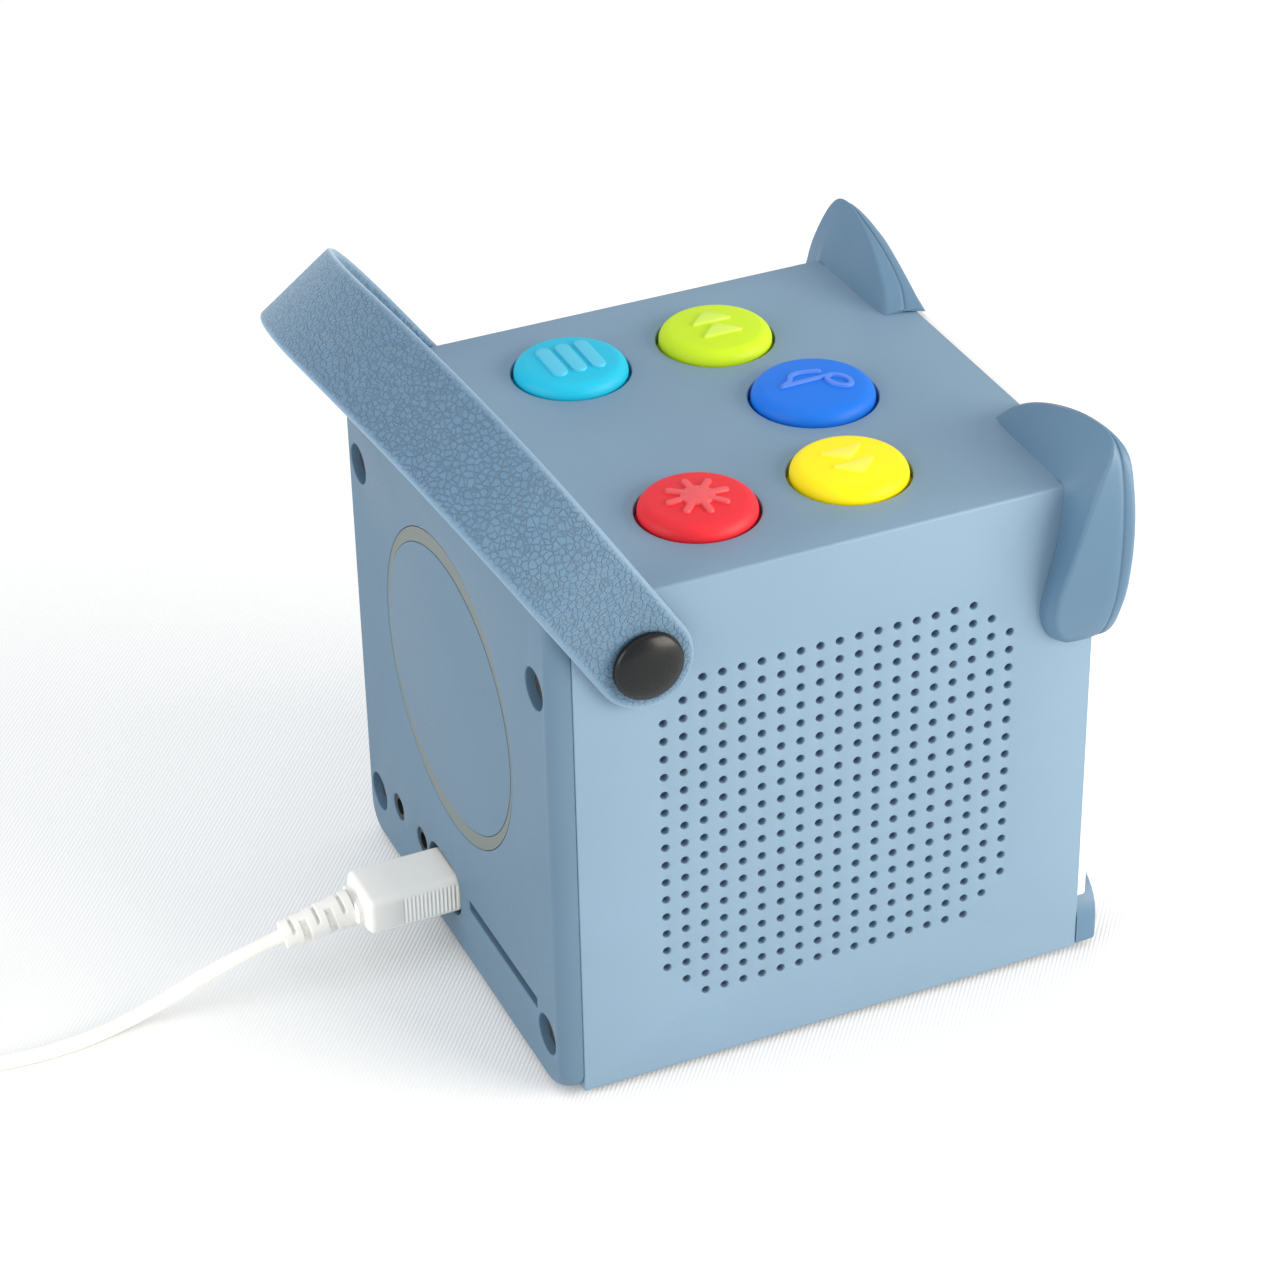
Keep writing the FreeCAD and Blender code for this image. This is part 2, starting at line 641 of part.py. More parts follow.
def ellipse_prism(label, half_width, half_height, low, high):
    """Flat elliptical disc standing on the rear cover."""
    ellipse = add("Part::Ellipse", f"{label}_outline")
    ellipse.setExpression("MajorRadius", half_width.text)
    ellipse.setExpression("MinorRadius", half_height.text)
    place(ellipse, 0, low, S.badge_height, "+y")
    disc = add("Part::Extrusion", label)
    disc.Base = ellipse
    disc.DirMode = "Custom"
    disc.Dir = FreeCAD.Vector(0, 1, 0)
    disc.Solid = True
    disc.setExpression("LengthFwd", (high - low).text)
    return disc


def build_badge():
    """Round insert of the rear cover: a blue disc in a grey ring, flush with the cover."""
    low = S.rear - S.badge_depth + 0.02
    ring = cylinder("badge_round", S.badge_radius, S.rear - low, (0, low, S.badge_height), "+y")
    opening = ellipse_prism("badge_opening", S.disc_half_width + 0.05, S.disc_half_height + 0.05,
                            low - 1, S.rear + 1)
    node(cut("rear_ring", ring, [opening]))
    node(ellipse_prism("rear_disc", S.disc_half_width, S.disc_half_height, low, S.rear + 0.05))


def build_rear_screws():
    node(group("rear_cover_screws", [
        screw(f"rear_screw_{i}", 2.9, 1.8, S.rear_screw, 8.5, (x, S.recess_floor, z), "+y")
        for i, (x, z) in enumerate(REAR_SCREWS)]))


def build_base_pad():
    """Anti-slip pad stuck to the underside; the player stands on it."""
    node(prism("rubber_base_pad", "XY_Plane", rounded(
        -S.pad_half_width, S.pad_half_width, -S.pad_half_depth, S.pad_half_depth, S.pad_corner),
        0, S.shell_bottom))


def build_button(name, x, y, radius):
    """Domed cap with a retaining flange below the top wall and a stem down to its dome."""
    flange_top = -(S.wall + S.moving_gap)
    flange_bottom = flange_top - 1.3
    roof = S.cap_rise - S.cap_wall - 0.5
    stem_end = S.button_board_top + S.dome_height + 0.05 - S.shell_top
    node(turned(name, [
        (0, stem_end),
        (S.stem_radius, stem_end),
        (S.stem_radius, roof),
        (radius - S.cap_wall, roof),
        (radius - S.cap_wall, flange_bottom),
        (radius + S.cap_flange, flange_bottom),
        (radius + S.cap_flange, flange_top),
        (radius, flange_top),
        (radius, S.cap_rise - 1.3),
        (radius - 2.0, S.cap_rise - 0.3),
        (0, S.cap_rise),
    ], (x, y, S.shell_top)))
    node(turned(f"{name}_dome", [
        (0, S.dome_height - 1.2),
        (S.dome_radius - 1.2, 0),
        (S.dome_radius, 0),
        (S.stem_radius, S.dome_height),
        (0, S.dome_height),
    ], (x, y, S.button_board_top)))


def drilled_board(label, x_range, y_range, top, screws, radius):
    """Horizontal circuit board with its screw holes."""
    low = top - S.board_thickness
    plate = box(f"{label}_plate", x_range, y_range, (low, top))
    holes = [octagon(f"{label}_hole_{i}", radius, 4, (x, y, low - 1))
             for i, (x, y) in enumerate(screws)]
    return node(cut(label, plate, holes))


def build_button_board():
    drilled_board("button_board", (-47, 47), (-44, 30), S.button_board_top,
                  BUTTON_BOARD_SCREWS, S.small_screw + 0.15)
    node(group("button_board_screws", [
        screw(f"button_board_screw_{i}", 2.3, 1.6, S.small_screw, 6,
              (x, y, S.button_board_top - S.board_thickness), "-z")
        for i, (x, y) in enumerate(BUTTON_BOARD_SCREWS)]))


strap_middle = S.half_width + S.moving_gap + S.strap_thickness / 2
strap_top_radius = S.strap_side_radius + (strap_middle - S.strap_side_radius) / cosine(S.strap_turn)


def strap_curve(offset):
    """Half-outline points of the strap's arch at a distance outside its middle line."""
    side = strap_middle + offset
    turn = S.strap_turn
    half_turn = turn / 2
    side_radius = S.strap_side_radius + offset
    side_centre = strap_middle - S.strap_side_radius
    joint = (side_centre + side_radius * cosine(turn), S.strap_leg + side_radius * sine(turn))
    via = (side_centre + side_radius * cosine(half_turn), S.strap_leg + side_radius * sine(half_turn))
    top_centre = S.strap_leg + (S.strap_side_radius - strap_top_radius) * sine(turn)
    return side, joint, via, top_centre + strap_top_radius + offset


def build_strap():
    """Flat strap in an arch from pin to pin, with round ends; it turns about the pins."""
    foot = -S.strap_width
    outer, inner = strap_curve(S.strap_thickness / 2), strap_curve(-S.strap_thickness / 2)
    outline = []
    for side, joint, via, top in (outer, inner):
        climb = [
            (side, foot),
            (side, S.strap_leg),
            (*joint, *via),
            (-joint[0], joint[1], 0, top),
            (-side, S.strap_leg, -via[0], via[1]),
            (-side, foot),
        ]
        outline.append(climb)
    half = S.strap_width / 2
    arch = cut("strap_band",
               prism("strap_outer", "XZ_Plane", outline[0], -half, half),
               [prism("strap_inner", "XZ_Plane", outline[1], -half - 1, half + 1)])
    side_view = prism("strap_side_view", "YZ_Plane", [
        (half, 0, 0, -half),
        (half, 80),
        (-half, 80),
        (-half, 0),
    ], -70, 70)
    band = common("strap_rounded", arch, side_view)
    hole = cylinder("strap_hole", S.pin_radius + S.pin_running_gap, 140, (-70, 0, 0), "+x")
    strap = cut("handle_strap", band, [hole])
    strap.Placement = FreeCAD.Placement(
        FreeCAD.Vector(0, S.strap_pin_y.value, S.strap_pin_z.value),
        FreeCAD.Rotation(FreeCAD.Vector(-1, 0, 0), S.strap_lean.value))
    strap.setExpression("Placement.Base.y", S.strap_pin_y.text)
    strap.setExpression("Placement.Base.z", S.strap_pin_z.text)
    strap.setExpression("Placement.Rotation.Angle", S.strap_lean.text)
    node(strap)


def build_strap_pins():
    """Domed pivot pins of the strap, each held by a push-on clip inside the shell."""
    seat = S.half_width + 2 * S.moving_gap + S.strap_thickness
    head, rise = S.pin_head_radius, S.pin_head_height
    clip_half = 4.0
    clip_outer = inner_half - 0.02
    clips = []
    for name, side in SIDES:
        outward = "+x" if side > 0 else "-x"
        node(turned(f"{name}_handle_pin", [
            (0, S.pin_inner_end - seat),
            (S.pin_radius, S.pin_inner_end - seat),
            (S.pin_radius, 0),
            (head, 0),
            (head, rise * 0.3),
            (head * 0.65, rise * 0.8),
            (0, rise),
        ], (side * seat, S.strap_pin_y, S.strap_pin_z), outward))
        x_range = (clip_outer - 1.2, clip_outer) if side > 0 else (-clip_outer, 1.2 - clip_outer)
        plate = box(f"{name}_clip_plate", x_range,
                    (S.strap_pin_y - clip_half, S.strap_pin_y + clip_half),
                    (S.strap_pin_z - clip_half, S.strap_pin_z + clip_half))
        eye = cylinder(f"{name}_clip_eye", S.pin_radius + PILOT_GAP, 60,
                       (0, S.strap_pin_y, S.strap_pin_z), outward)
        clips.append(cut(f"{name}_pin_clip", plate, [eye]))
    node(group("pin_clips", clips))


def build_speaker():
    """Loudspeaker behind the grille; its axis points out through the -X wall."""
    face = -inner_half + S.gasket_thickness
    at = (face, S.speaker_y, S.speaker_z)
    node(turned("speaker_gasket", [
        (S.cone_radius + 0.5, 0.02), (S.cone_radius + 2, 0.02),
        (S.cone_radius + 2, S.gasket_thickness), (S.cone_radius + 0.5, S.gasket_thickness),
    ], at, "-x"))
    ledge = 0.65
    flange = turned("basket_turned", [
        (12.0, -16.0), (S.magnet_radius, -16.0), (S.cone_radius + 1, -1.6),
        (S.speaker_radius, -1.6), (S.speaker_radius, 0), (S.cone_radius + 0.2, 0),
        (S.cone_radius + 0.2, -ledge), (S.cone_radius - 0.85, -ledge),
        (S.magnet_radius - 1, -14.6), (12.0, -14.6),
    ], at, "-x")
    holes = [octagon(f"basket_hole_{i}", S.small_screw + 0.2, 6, (face - 1, y, z), "+x")
             for i, (y, z) in enumerate(SPEAKER_SCREWS)]
    window_circle = 23.6
    windows = [octagon(f"basket_window_{i}", 4.6, 12,
                       (face + 4.5, S.speaker_y + window_circle * math.cos(angle),
                        S.speaker_z + window_circle * math.sin(angle)), "+x")
               for i, angle in enumerate(math.radians(90 * k) for k in range(4))]
    node(cut("speaker_basket", flange, [*holes, *windows]))
    node(turned("speaker_cone", [
        (9.0, -11.4), (9.6, -11.4), (24.6, -2.4), (S.cone_radius - 0.9, -0.6),
        (S.cone_radius, -0.6), (S.cone_radius, -0.1), (24.4, -1.6), (9.0, -10.6),
    ], at, "-x"))
    node(turned("speaker_dust_cap", [
        (0, -8.1), (8.9, -10.5), (8.9, -9.9), (0, -7.4),
    ], at, "-x"))
    node(cylinder("speaker_magnet", S.magnet_radius, 14, (face + 16.05, *at[1:]), "+x"))
    node(turned("speaker_voice_coil", [
        (7.9, -16.0), (8.7, -16.0), (8.7, -11.5), (7.9, -11.5),
    ], at, "-x"))
    node(group("speaker_screws", [
        screw(f"speaker_screw_{i}", 2.2, 1.4, S.small_screw, 3.8, (face + 1.6, y, z), "+x")
        for i, (y, z) in enumerate(SPEAKER_SCREWS)]))


def build_light_board():
    front = S.led_board_rear - S.board_thickness
    plate = box("light_board_plate", (-38, 38), (front, S.led_board_rear), (24, 88))
    holes = [octagon(f"light_board_hole_{i}", LIGHT_PEG_RADIUS + PEG_HOLE_GAP, 4,
                     (x, front - 1, z), "+y") for i, (x, z) in enumerate(LIGHT_POSTS)]
    node(cut("light_board", plate, holes))
    half = 2.5
    node(group("night_light_leds", [
        box(f"led_{i}", (x - half, x + half), (front - 1.2, front), (z - half, z + half))
        for i, (x, z) in enumerate(((x, z) for x in (-20, 0, 20) for z in (42, 70)))]))


def build_main_board():
    top = S.main_board_top
    drilled_board("main_board", (-S.main_board_half, S.main_board_half),
                  (S.main_board_front, S.main_board_rear), top,
                  MAIN_BOARD_SCREWS, S.small_screw + 0.15)
    node(group("main_board_screws", [
        screw(f"main_board_screw_{i}", 2.3, 1.6, S.small_screw, 6, (x, y, top), "+z")
        for i, (x, y) in enumerate(MAIN_BOARD_SCREWS)]))
    node(box("processor_chip", (-12, -2), (14, 24), (top, top + 1.2)))
    node(box("amplifier_chip", (14, 19), (16, 21), (top, top + 1.0)))
    node(group("capacitors", [
        octagon(f"capacitor_{i}", 2.5, 7.0, (x, 20, top)) for i, x in enumerate((-28.0, -21.0))]))
    card = box("card_socket_block", (S.card_left + 2.5, S.card_right - 1), (26, 53.6),
               (top, S.card_height + 1.8))
    mouth = box("card_socket_mouth", (-35.5, -11.4), (28, 55),
                (S.card_height - 1.1, S.card_height + 1.1))
    node(cut("card_socket", card, [mouth]))
    for label, x in (("headphone_jack_one", S.jack_one_x), ("headphone_jack_two", S.jack_two_x)):
        body = box(f"{label}_body", (x - 3.3, x + 3.3), (40, 54.2), (top, S.jack_height + 3.0))
        nose = cylinder(f"{label}_nose", S.jack_nose, 3.4, (x, 53.2, S.jack_height), "+y")
        bore = cylinder(f"{label}_bore", 1.8, 20, (x, 42, S.jack_height), "+y")
        node(cut(label, fuse(f"{label}_outside", [body, nose]), [bore]))


USB_SOCKET_HALF = (3.75, 1.35)
USB_TONGUE_HALF = (3.4, 0.9)


def build_charging_socket():
    outer_x, outer_z = USB_SOCKET_HALF
    socket = box("usb_socket_shell", (S.usb_x - outer_x, S.usb_x + outer_x), (46.5, 52.2),
                 (S.usb_height - outer_z, S.usb_height + outer_z))
    mouth = box("usb_socket_mouth", (S.usb_x - outer_x + 0.3, S.usb_x + outer_x - 0.3), (47.5, 53),
                (S.usb_height - outer_z + 0.3, S.usb_height + outer_z - 0.3))
    node(cut("usb_socket", socket, [mouth]))


def build_battery():
    floor = inner_floor
    holder_floor = floor + S.battery_pad_height
    centre = holder_floor + 1.2 + S.battery_radius
    reach = S.battery_half + 3.5
    side = S.battery_radius + 0.2
    node(box("battery_pad", (-reach + 1, reach - 1), (S.battery_y - side, S.battery_y + side),
             (floor, holder_floor)))
    outer = box("battery_holder_outer", (-reach, reach),
                (S.battery_y - side - 1.5, S.battery_y + side + 1.5), (holder_floor, centre + 2))
    room = box("battery_holder_room", (1.6 - reach, reach - 1.6), (S.battery_y - side, S.battery_y + side),
               (holder_floor + 1.2, centre + 5))
    node(cut("battery_holder", outer, [room]))
    node(cylinder("battery_cell", S.battery_radius, S.battery_half * 2,
                  (-S.battery_half, S.battery_y, centre), "+x"))
    contact = 0.5
    node(group("battery_contacts", [
        box("battery_contact_minus", (1.65 - reach, 1.65 + contact - reach),
            (S.battery_y - 5, S.battery_y + 5), (centre - 6, centre + 6)),
        box("battery_contact_plus", (reach - 1.65 - contact, reach - 1.65),
            (S.battery_y - 5, S.battery_y + 5), (centre - 6, centre + 6))]))


def build_plug():
    """Moulded grip, metal tongue and ribbed strain relief of the charging plug."""
    half_w, half_h = S.plug_width / 2, S.plug_height / 2
    grip_end = S.plug_start + S.plug_length
    grip = prism("plug_grip_block", "XZ_Plane", rounded(
        S.usb_x - half_w, S.usb_x + half_w, S.usb_height - half_h, S.usb_height + half_h, 1.2),
        S.plug_start, grip_end)
    neck = prism("plug_neck", "XZ_Plane", rounded(
        S.usb_x - half_w + 1.6, S.usb_x + half_w - 1.6,
        S.usb_height - half_h + 1.2, S.usb_height + half_h - 1.2, 1.0),
        grip_end - 0.5, grip_end + 1.6)
    node(fuse("plug_grip", [grip, neck]))
    tongue_x, tongue_z = USB_TONGUE_HALF
    node(box("plug_tongue", (S.usb_x - tongue_x, S.usb_x + tongue_x), (48.5, S.plug_start - 0.01),
             (S.usb_height - tongue_z, S.usb_height + tongue_z)))
    start = grip_end + 1.65
    ribs = 3
    pitch = S.relief_length / ribs
    profile = [(0, 0)]
    for i in range(ribs):
        radius = 3.3 - 0.4 * i
        profile += [(radius, pitch * i), (radius, pitch * (i + 0.6)),
                    (radius - 0.9, pitch * (i + 0.6)), (radius - 0.9, pitch * (i + 1))]
    profile.append((0, S.relief_length))
    relief = turned("strain_relief", profile, (S.usb_x, start, S.usb_height), "+y")
    relief.setExpression("Placement.Rotation.Angle", (-(90 + S.relief_tilt)).text)
    node(relief)


# Free stretch of the charging cable, from the strain relief to the coil: it sinks to the floor,
# snakes a little and runs straight into the coil's lowest outer turn.
CABLE_ROUTE = [
    (8.0, 92.2, 11.55),
    (8.0, 104.5, 8.95),
    (8.0, 123.5, 1.5),
    (4.6, 139.0, 1.5),
    (5.4, 154.0, 1.5),
    (9.0, 171.0, 1.5),
    (9.0, 183.0, 1.5),
]
TAIL_START_X = 36.5
TAIL_END_X = 50.0


def rounded_path(points):
    """Straight runs joined by tangent arcs, each as large as its two runs allow."""
    corners = [FreeCAD.Vector(*point) for point in points]
    edges = []
    start = corners[0]
    for before, corner, after in zip(corners, corners[1:], corners[2:]):
        back = (before - corner).normalize()
        ahead = (after - corner).normalize()
        half_turn = (math.pi - back.getAngle(ahead)) / 2
        reach = 0.45 * min(before.distanceToPoint(corner), after.distanceToPoint(corner))
        radius = reach / math.tan(half_turn)
        print(f"cable bend radius {radius:.1f}")
        middle = corner + (back + ahead).normalize() * (radius / math.cos(half_turn) - radius)
        enter, leave = corner + back * reach, corner + ahead * reach
        edges.append(Part.LineSegment(start, enter).toShape())
        edges.append(Part.Arc(enter, middle, leave).toShape())
        start = leave
    edges.append(Part.LineSegment(start, corners[-1]).toShape())
    return Part.Wire(edges)


def tube(label, path):
    """Round cable along a path."""
    first = path.Edges[0]
    section = Part.Wire([Part.Circle(first.firstVertex().Point, first.tangentAt(first.FirstParameter),
                                     S.cable_radius.value).toShape()])
    item = add("Part::Feature", label)
    item.Shape = path.makePipeShell([section], True, True)
    expected = math.pi * S.cable_radius.value ** 2 * path.Length
    print(f"{label}: volume {item.Shape.Volume:.1f}, section times length {expected:.1f}")
    return node(item)


def build_cable():
    """Charging cable: the stretch that lies free, the coiled rest and its own plug."""
    path = rounded_path(CABLE_ROUTE)
    tube("usb_cable", path)
    half = S.cable_radius * S.coil_layers
    node(turned("cable_coil", [
        (S.coil_radius - half, 0.02), (S.coil_radius + half, 0.02),
        (S.coil_radius + half, half * 2), (S.coil_radius - half, half * 2),
    ], (S.coil_x, S.coil_y, 0)))
    tail_y = S.coil_y.value + S.coil_radius.value + 2 * S.cable_radius.value
    tail_z = 3 * S.cable_radius.value
    tail = Part.Wire([Part.LineSegment(FreeCAD.Vector(TAIL_START_X, tail_y, tail_z),
                                       FreeCAD.Vector(TAIL_END_X, tail_y, tail_z)).toShape()])
    tube("usb_cable_tail", tail)
    boot = turned("usb_a_boot", [(0, 0), (2.6, 0), (3.6, 9.0), (0, 9.0)],
                  (TAIL_END_X + 0.02, tail_y, tail_z), "+x")
    grip = box("usb_a_block", (TAIL_END_X + 8.5, TAIL_END_X + 32), (tail_y - 7.5, tail_y + 7.5),
               (tail_z - 4.2, tail_z + 4.2))
    node(fuse("usb_a_grip", [boot, grip]))
    shell = box("usb_a_outer", (TAIL_END_X + 32.02, TAIL_END_X + 44), (tail_y - 6, tail_y + 6),
                (tail_z - 2.25, tail_z + 2.25))
    mouth = box("usb_a_mouth", (TAIL_END_X + 34, TAIL_END_X + 45), (tail_y - 5.6, tail_y + 5.6),
                (tail_z, tail_z + 1.9))
    node(cut("usb_a_shell", shell, [mouth]))
    turn = 2 * math.pi * S.coil_radius.value
    coiled = S.cable_length.value - path.Length - tail.Length
    print(f"cable: {path.Length:.0f} mm free, {coiled:.0f} mm coiled in {coiled / turn:.1f} turns")


build_main_shell()
build_front_panel()
build_ears()
build_paws()
build_rear_cover()
build_badge()
build_rear_screws()
build_base_pad()
for button_name, (button_x, button_y, button_radius) in BUTTONS.items():
    build_button(button_name, button_x, button_y, button_radius)
build_button_board()
build_strap()
build_strap_pins()
build_speaker()
build_light_board()
build_main_board()
build_charging_socket()
build_battery()
build_plug()
build_cable()

# ---------------------------------------------------------------- write

doc.recompute()
faults = [item.Label for item in doc.Objects if "Invalid" in item.State or "Error" in item.State]
for item in node_objects:
    if item.Shape.isNull() or not item.Shape.isValid() or not item.Shape.Solids:
        faults.append(f"{item.Label} has no valid solid")
if faults:
    raise RuntimeError("; ".join(faults))
os.makedirs("parts", exist_ok=True)
for item in node_objects:
    item.Shape.exportStep(f"parts/{item.Label}.step")
print(len(node_objects), "sub-parts written")
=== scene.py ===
import json
import math

import bmesh
import bpy
import numpy as np
from bpy.props import FloatProperty, FloatVectorProperty, PointerProperty
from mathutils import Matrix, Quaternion, Vector
from mathutils.geometry import delaunay_2d_cdt


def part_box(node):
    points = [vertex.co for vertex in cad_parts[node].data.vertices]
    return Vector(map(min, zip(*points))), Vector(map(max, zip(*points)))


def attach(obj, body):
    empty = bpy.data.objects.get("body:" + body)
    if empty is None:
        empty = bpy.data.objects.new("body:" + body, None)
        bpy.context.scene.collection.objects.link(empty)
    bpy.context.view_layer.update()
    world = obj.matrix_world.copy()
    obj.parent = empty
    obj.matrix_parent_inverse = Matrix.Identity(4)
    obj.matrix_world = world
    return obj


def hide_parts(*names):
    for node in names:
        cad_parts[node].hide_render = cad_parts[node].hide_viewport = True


bl_info = {
    "name": "Audio story player",
    "version": (1, 0, 0),
    "blender": (4, 5, 0),
    "location": "3D View > Sidebar > Story player",
    "description": "Dresses the packed audio story player: shell, buttons, ears, strap and lead",
    "category": "Object",
}

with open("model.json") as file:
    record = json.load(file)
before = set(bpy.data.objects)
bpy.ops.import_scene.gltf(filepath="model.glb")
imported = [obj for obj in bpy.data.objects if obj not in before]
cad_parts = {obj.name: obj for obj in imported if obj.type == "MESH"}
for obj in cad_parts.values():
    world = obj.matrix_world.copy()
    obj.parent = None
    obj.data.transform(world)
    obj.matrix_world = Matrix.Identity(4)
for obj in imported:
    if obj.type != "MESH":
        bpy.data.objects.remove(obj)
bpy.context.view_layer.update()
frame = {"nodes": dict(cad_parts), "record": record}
MM = 0.001

# ---------------------------------------------------------------- places read from the frame

SHELL_LOW, SHELL_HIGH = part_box("main_shell")
COVER_LOW, COVER_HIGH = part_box("rear_cover")
PANEL_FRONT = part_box("front_panel")[0][1]
COIL_LOW, COIL_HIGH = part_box("cable_coil")
TAIL_LOW, TAIL_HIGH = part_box("usb_cable_tail")
GRIP_LOW, GRIP_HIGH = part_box("plug_grip")

HALF = SHELL_HIGH[0]
FLOOR_EDGE = SHELL_LOW[2]
TOP = SHELL_HIGH[2]
SEAM = SHELL_HIGH[1]
REAR = COVER_HIGH[1]
BODY_LOW, BODY_HIGH = np.array((-HALF, FLOOR_EDGE)), np.array((HALF, TOP))
WALL = 2.4 * MM
EDGE = 0.6 * MM
ROUND_STEPS = 6

GRILLE_PITCH = 4.04 * MM
GRILLE_COUNT = 19
GRILLE_CORNER = 2
GRILLE_HOLE = 0.85 * MM
GRILLE_MIDDLE = (-2.3 * MM, 54.1 * MM)
CAP_SLOTS = {"list": "cap_sky", "light": "cap_red", "next": "cap_lime",
             "previous": "cap_yellow", "music": "cap_blue"}
CAP_GAP = 0.6 * MM
CAP_FLANGE = 1.5 * MM
PIVOT = np.array([0.0, 38.3, 98.5]) * MM
SIDES = {"left": -1, "right": 1}


def srgb(red, green, blue):
    """Linear colour of an 8-bit sRGB one."""
    value = np.array([red, green, blue]) / 255
    linear = np.where(value <= 0.04045, value / 12.92, ((value + 0.055) / 1.055) ** 2.4)
    return tuple(float(part) for part in linear)


# ---------------------------------------------------------------- settings

def colour_property(name, description, default):
    """Colour setting, kept as a linear colour."""
    return FloatVectorProperty(name=name, description=description, default=default, size=3,
                               min=0, max=1, subtype="COLOR")


class StoryPlayerSettings(bpy.types.PropertyGroup):
    """Colours and fine sizes that a maker would change."""
    shell_colour: colour_property("Shell", "Moulded shell", srgb(117, 145, 168))
    cover_colour: colour_property("Rear cover", "Rear cover and its disc", srgb(84, 113, 136))
    ear_colour: colour_property("Ears", "Ears and paws", srgb(85, 118, 145))
    strap_colour: colour_property("Strap", "Crackled cells of the strap", srgb(78, 111, 138))
    strap_line_colour: colour_property("Strap creases", "Creases of the strap", srgb(56, 85, 110))
    list_colour: colour_property("List button", "Sky blue cap", srgb(20, 184, 218))
    light_colour: colour_property("Light button", "Red cap", srgb(226, 40, 52))
    next_colour: colour_property("Next button", "Lime cap", srgb(192, 224, 26))
    previous_colour: colour_property("Previous button", "Yellow cap", srgb(255, 230, 0))
    music_colour: colour_property("Music button", "Royal blue cap", srgb(12, 112, 222))
    ring_colour: colour_property("Rear ring", "Ring round the rear disc", srgb(94, 105, 103))
    lead_colour: colour_property("Lead", "Charging plug and cable", srgb(244, 243, 238))
    edge_roll: FloatProperty(name="Edge roll", description="Rounding of the rear cover's edge",
                             default=1.7 * MM, min=0.5 * MM, max=4 * MM, unit="LENGTH")
    icon_relief: FloatProperty(name="Icon relief", description="Height of the raised button signs",
                               default=0.5 * MM, min=0.1 * MM, max=0.8 * MM, unit="LENGTH")
    crackle_size: FloatProperty(name="Crackle", description="Cell size of the strap's crackle",
                                default=1.2 * MM, min=0.5 * MM, max=6 * MM, unit="LENGTH")


def settings():
    """The scene's own settings of this add-on."""
    return bpy.context.scene.story_player


# ---------------------------------------------------------------- mesh from arrays

class Patches:
    """Collects grids and plates of one piece, then writes them into a mesh."""

    def __init__(self):
        self.points = []
        self.faces = []
        self.count = 0

    def add(self, points, faces):
        """Take points, and faces that count from the first of them."""
        self.points.append(np.asarray(points, float).reshape(-1, 3))
        self.faces.extend((np.asarray(faces) + self.count).tolist())
        self.count += len(self.points[-1])

    def grid(self, points, wrap_u=False, wrap_v=False, keep=None):
        """Quads between neighbours of a grid; a wrapped direction joins its end to its start.
        keep is a mask of the quads that stay."""
        rows, columns = points.shape[:2]
        index = np.arange(rows * columns).reshape(rows, columns)
        if wrap_u:
            index = np.vstack([index, index[:1]])
        if wrap_v:
            index = np.hstack([index, index[:, :1]])
        quads = np.stack([index[:-1, :-1], index[1:, :-1], index[1:, 1:], index[:-1, 1:]], -1)
        self.add(points, quads[keep] if keep is not None else quads.reshape(-1, 4))

    def skirt(self, *loops):
        """Quads between closed loops, from each to the next."""
        self.grid(np.stack(loops), wrap_v=True)

    def fan(self, loop):
        """Triangles from a closed loop to its middle."""
        self.skirt(np.broadcast_to(loop.mean(0), loop.shape), loop)

    def plate(self, outline, holes, lift):
        """Flat plate inside an outline and round its holes, as a constrained Delaunay net.
        lift turns the plate's own two coordinates into points in space."""
        loops = [np.asarray(loop) for loop in (outline, *holes)]
        flat = np.concatenate(loops)
        edges = []
        start = 0
        for loop in loops:
            ring = np.arange(start, start + len(loop))
            edges.append(np.stack([ring, np.roll(ring, -1)], -1))
            start += len(loop)
        vectors = [Vector(point) for point in (flat / MM).tolist()]
        found, _, triangles, sources, *_ = delaunay_2d_cdt(
            vectors, np.concatenate(edges).tolist(), [], 1, 1e-6)
        loop_of = np.concatenate([np.full(len(loop), k) for k, loop in enumerate(loops)])
        owner = loop_of[[source[0] for source in sources]]
        triangles = np.array(triangles)
        points = np.array([tuple(point) for point in found]) * MM
        middles = points[triangles].mean(1)
        corners = owner[triangles]
        in_hole = np.zeros(len(triangles), bool)
        for number, loop in enumerate(loops[1:], 1):
            own = np.flatnonzero((corners == number).all(1))
            in_hole[own] = enclosed(middles[own], loop)
        self.add(lift(points), triangles[~in_hole])

    def build(self, name, smooth_angle=34):
        """Object of all patches, joined where their points meet; edges sharper than the angle
        stay sharp."""
        mesh = bpy.data.meshes.new(name)
        mesh.from_pydata(np.concatenate(self.points).tolist(), [], self.faces)
        work = bmesh.new()
        work.from_mesh(mesh)
        bmesh.ops.remove_doubles(work, verts=work.verts, dist=1e-6)
        bmesh.ops.dissolve_degenerate(work, edges=work.edges, dist=1e-7)
        bmesh.ops.recalc_face_normals(work, faces=work.faces)
        work.to_mesh(mesh)
        work.free()
        mesh.shade_smooth()
        mesh.set_sharp_from_angle(angle=math.radians(smooth_angle))
        piece = bpy.data.objects.new(name, mesh)
        bpy.context.scene.collection.objects.link(piece)
        return piece


def finish_piece(piece, material, body, nodes=()):
    """Give a new piece its finish and its place in the frame."""
    piece.data.materials.clear()
    piece.data.materials.append(material)
    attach(piece, body)
    if nodes:
        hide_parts(*nodes)
    return piece


# ---------------------------------------------------------------- outlines and curves

def enclosed(points, loop):
    """Which of the points lie inside a closed outline, by counting its crossings on one side."""
    start, end = loop, np.roll(loop, -1, 0)
    x, y = points[:, :1], points[:, 1:]
    spans = (start[:, 1] > y) != (end[:, 1] > y)
    rise = np.where(end[:, 1] == start[:, 1], 1, end[:, 1] - start[:, 1])
    crossing = start[:, 0] + (end[:, 0] - start[:, 0]) * (y - start[:, 1]) / rise
    return (spans & (crossing > x)).sum(1) % 2 == 1


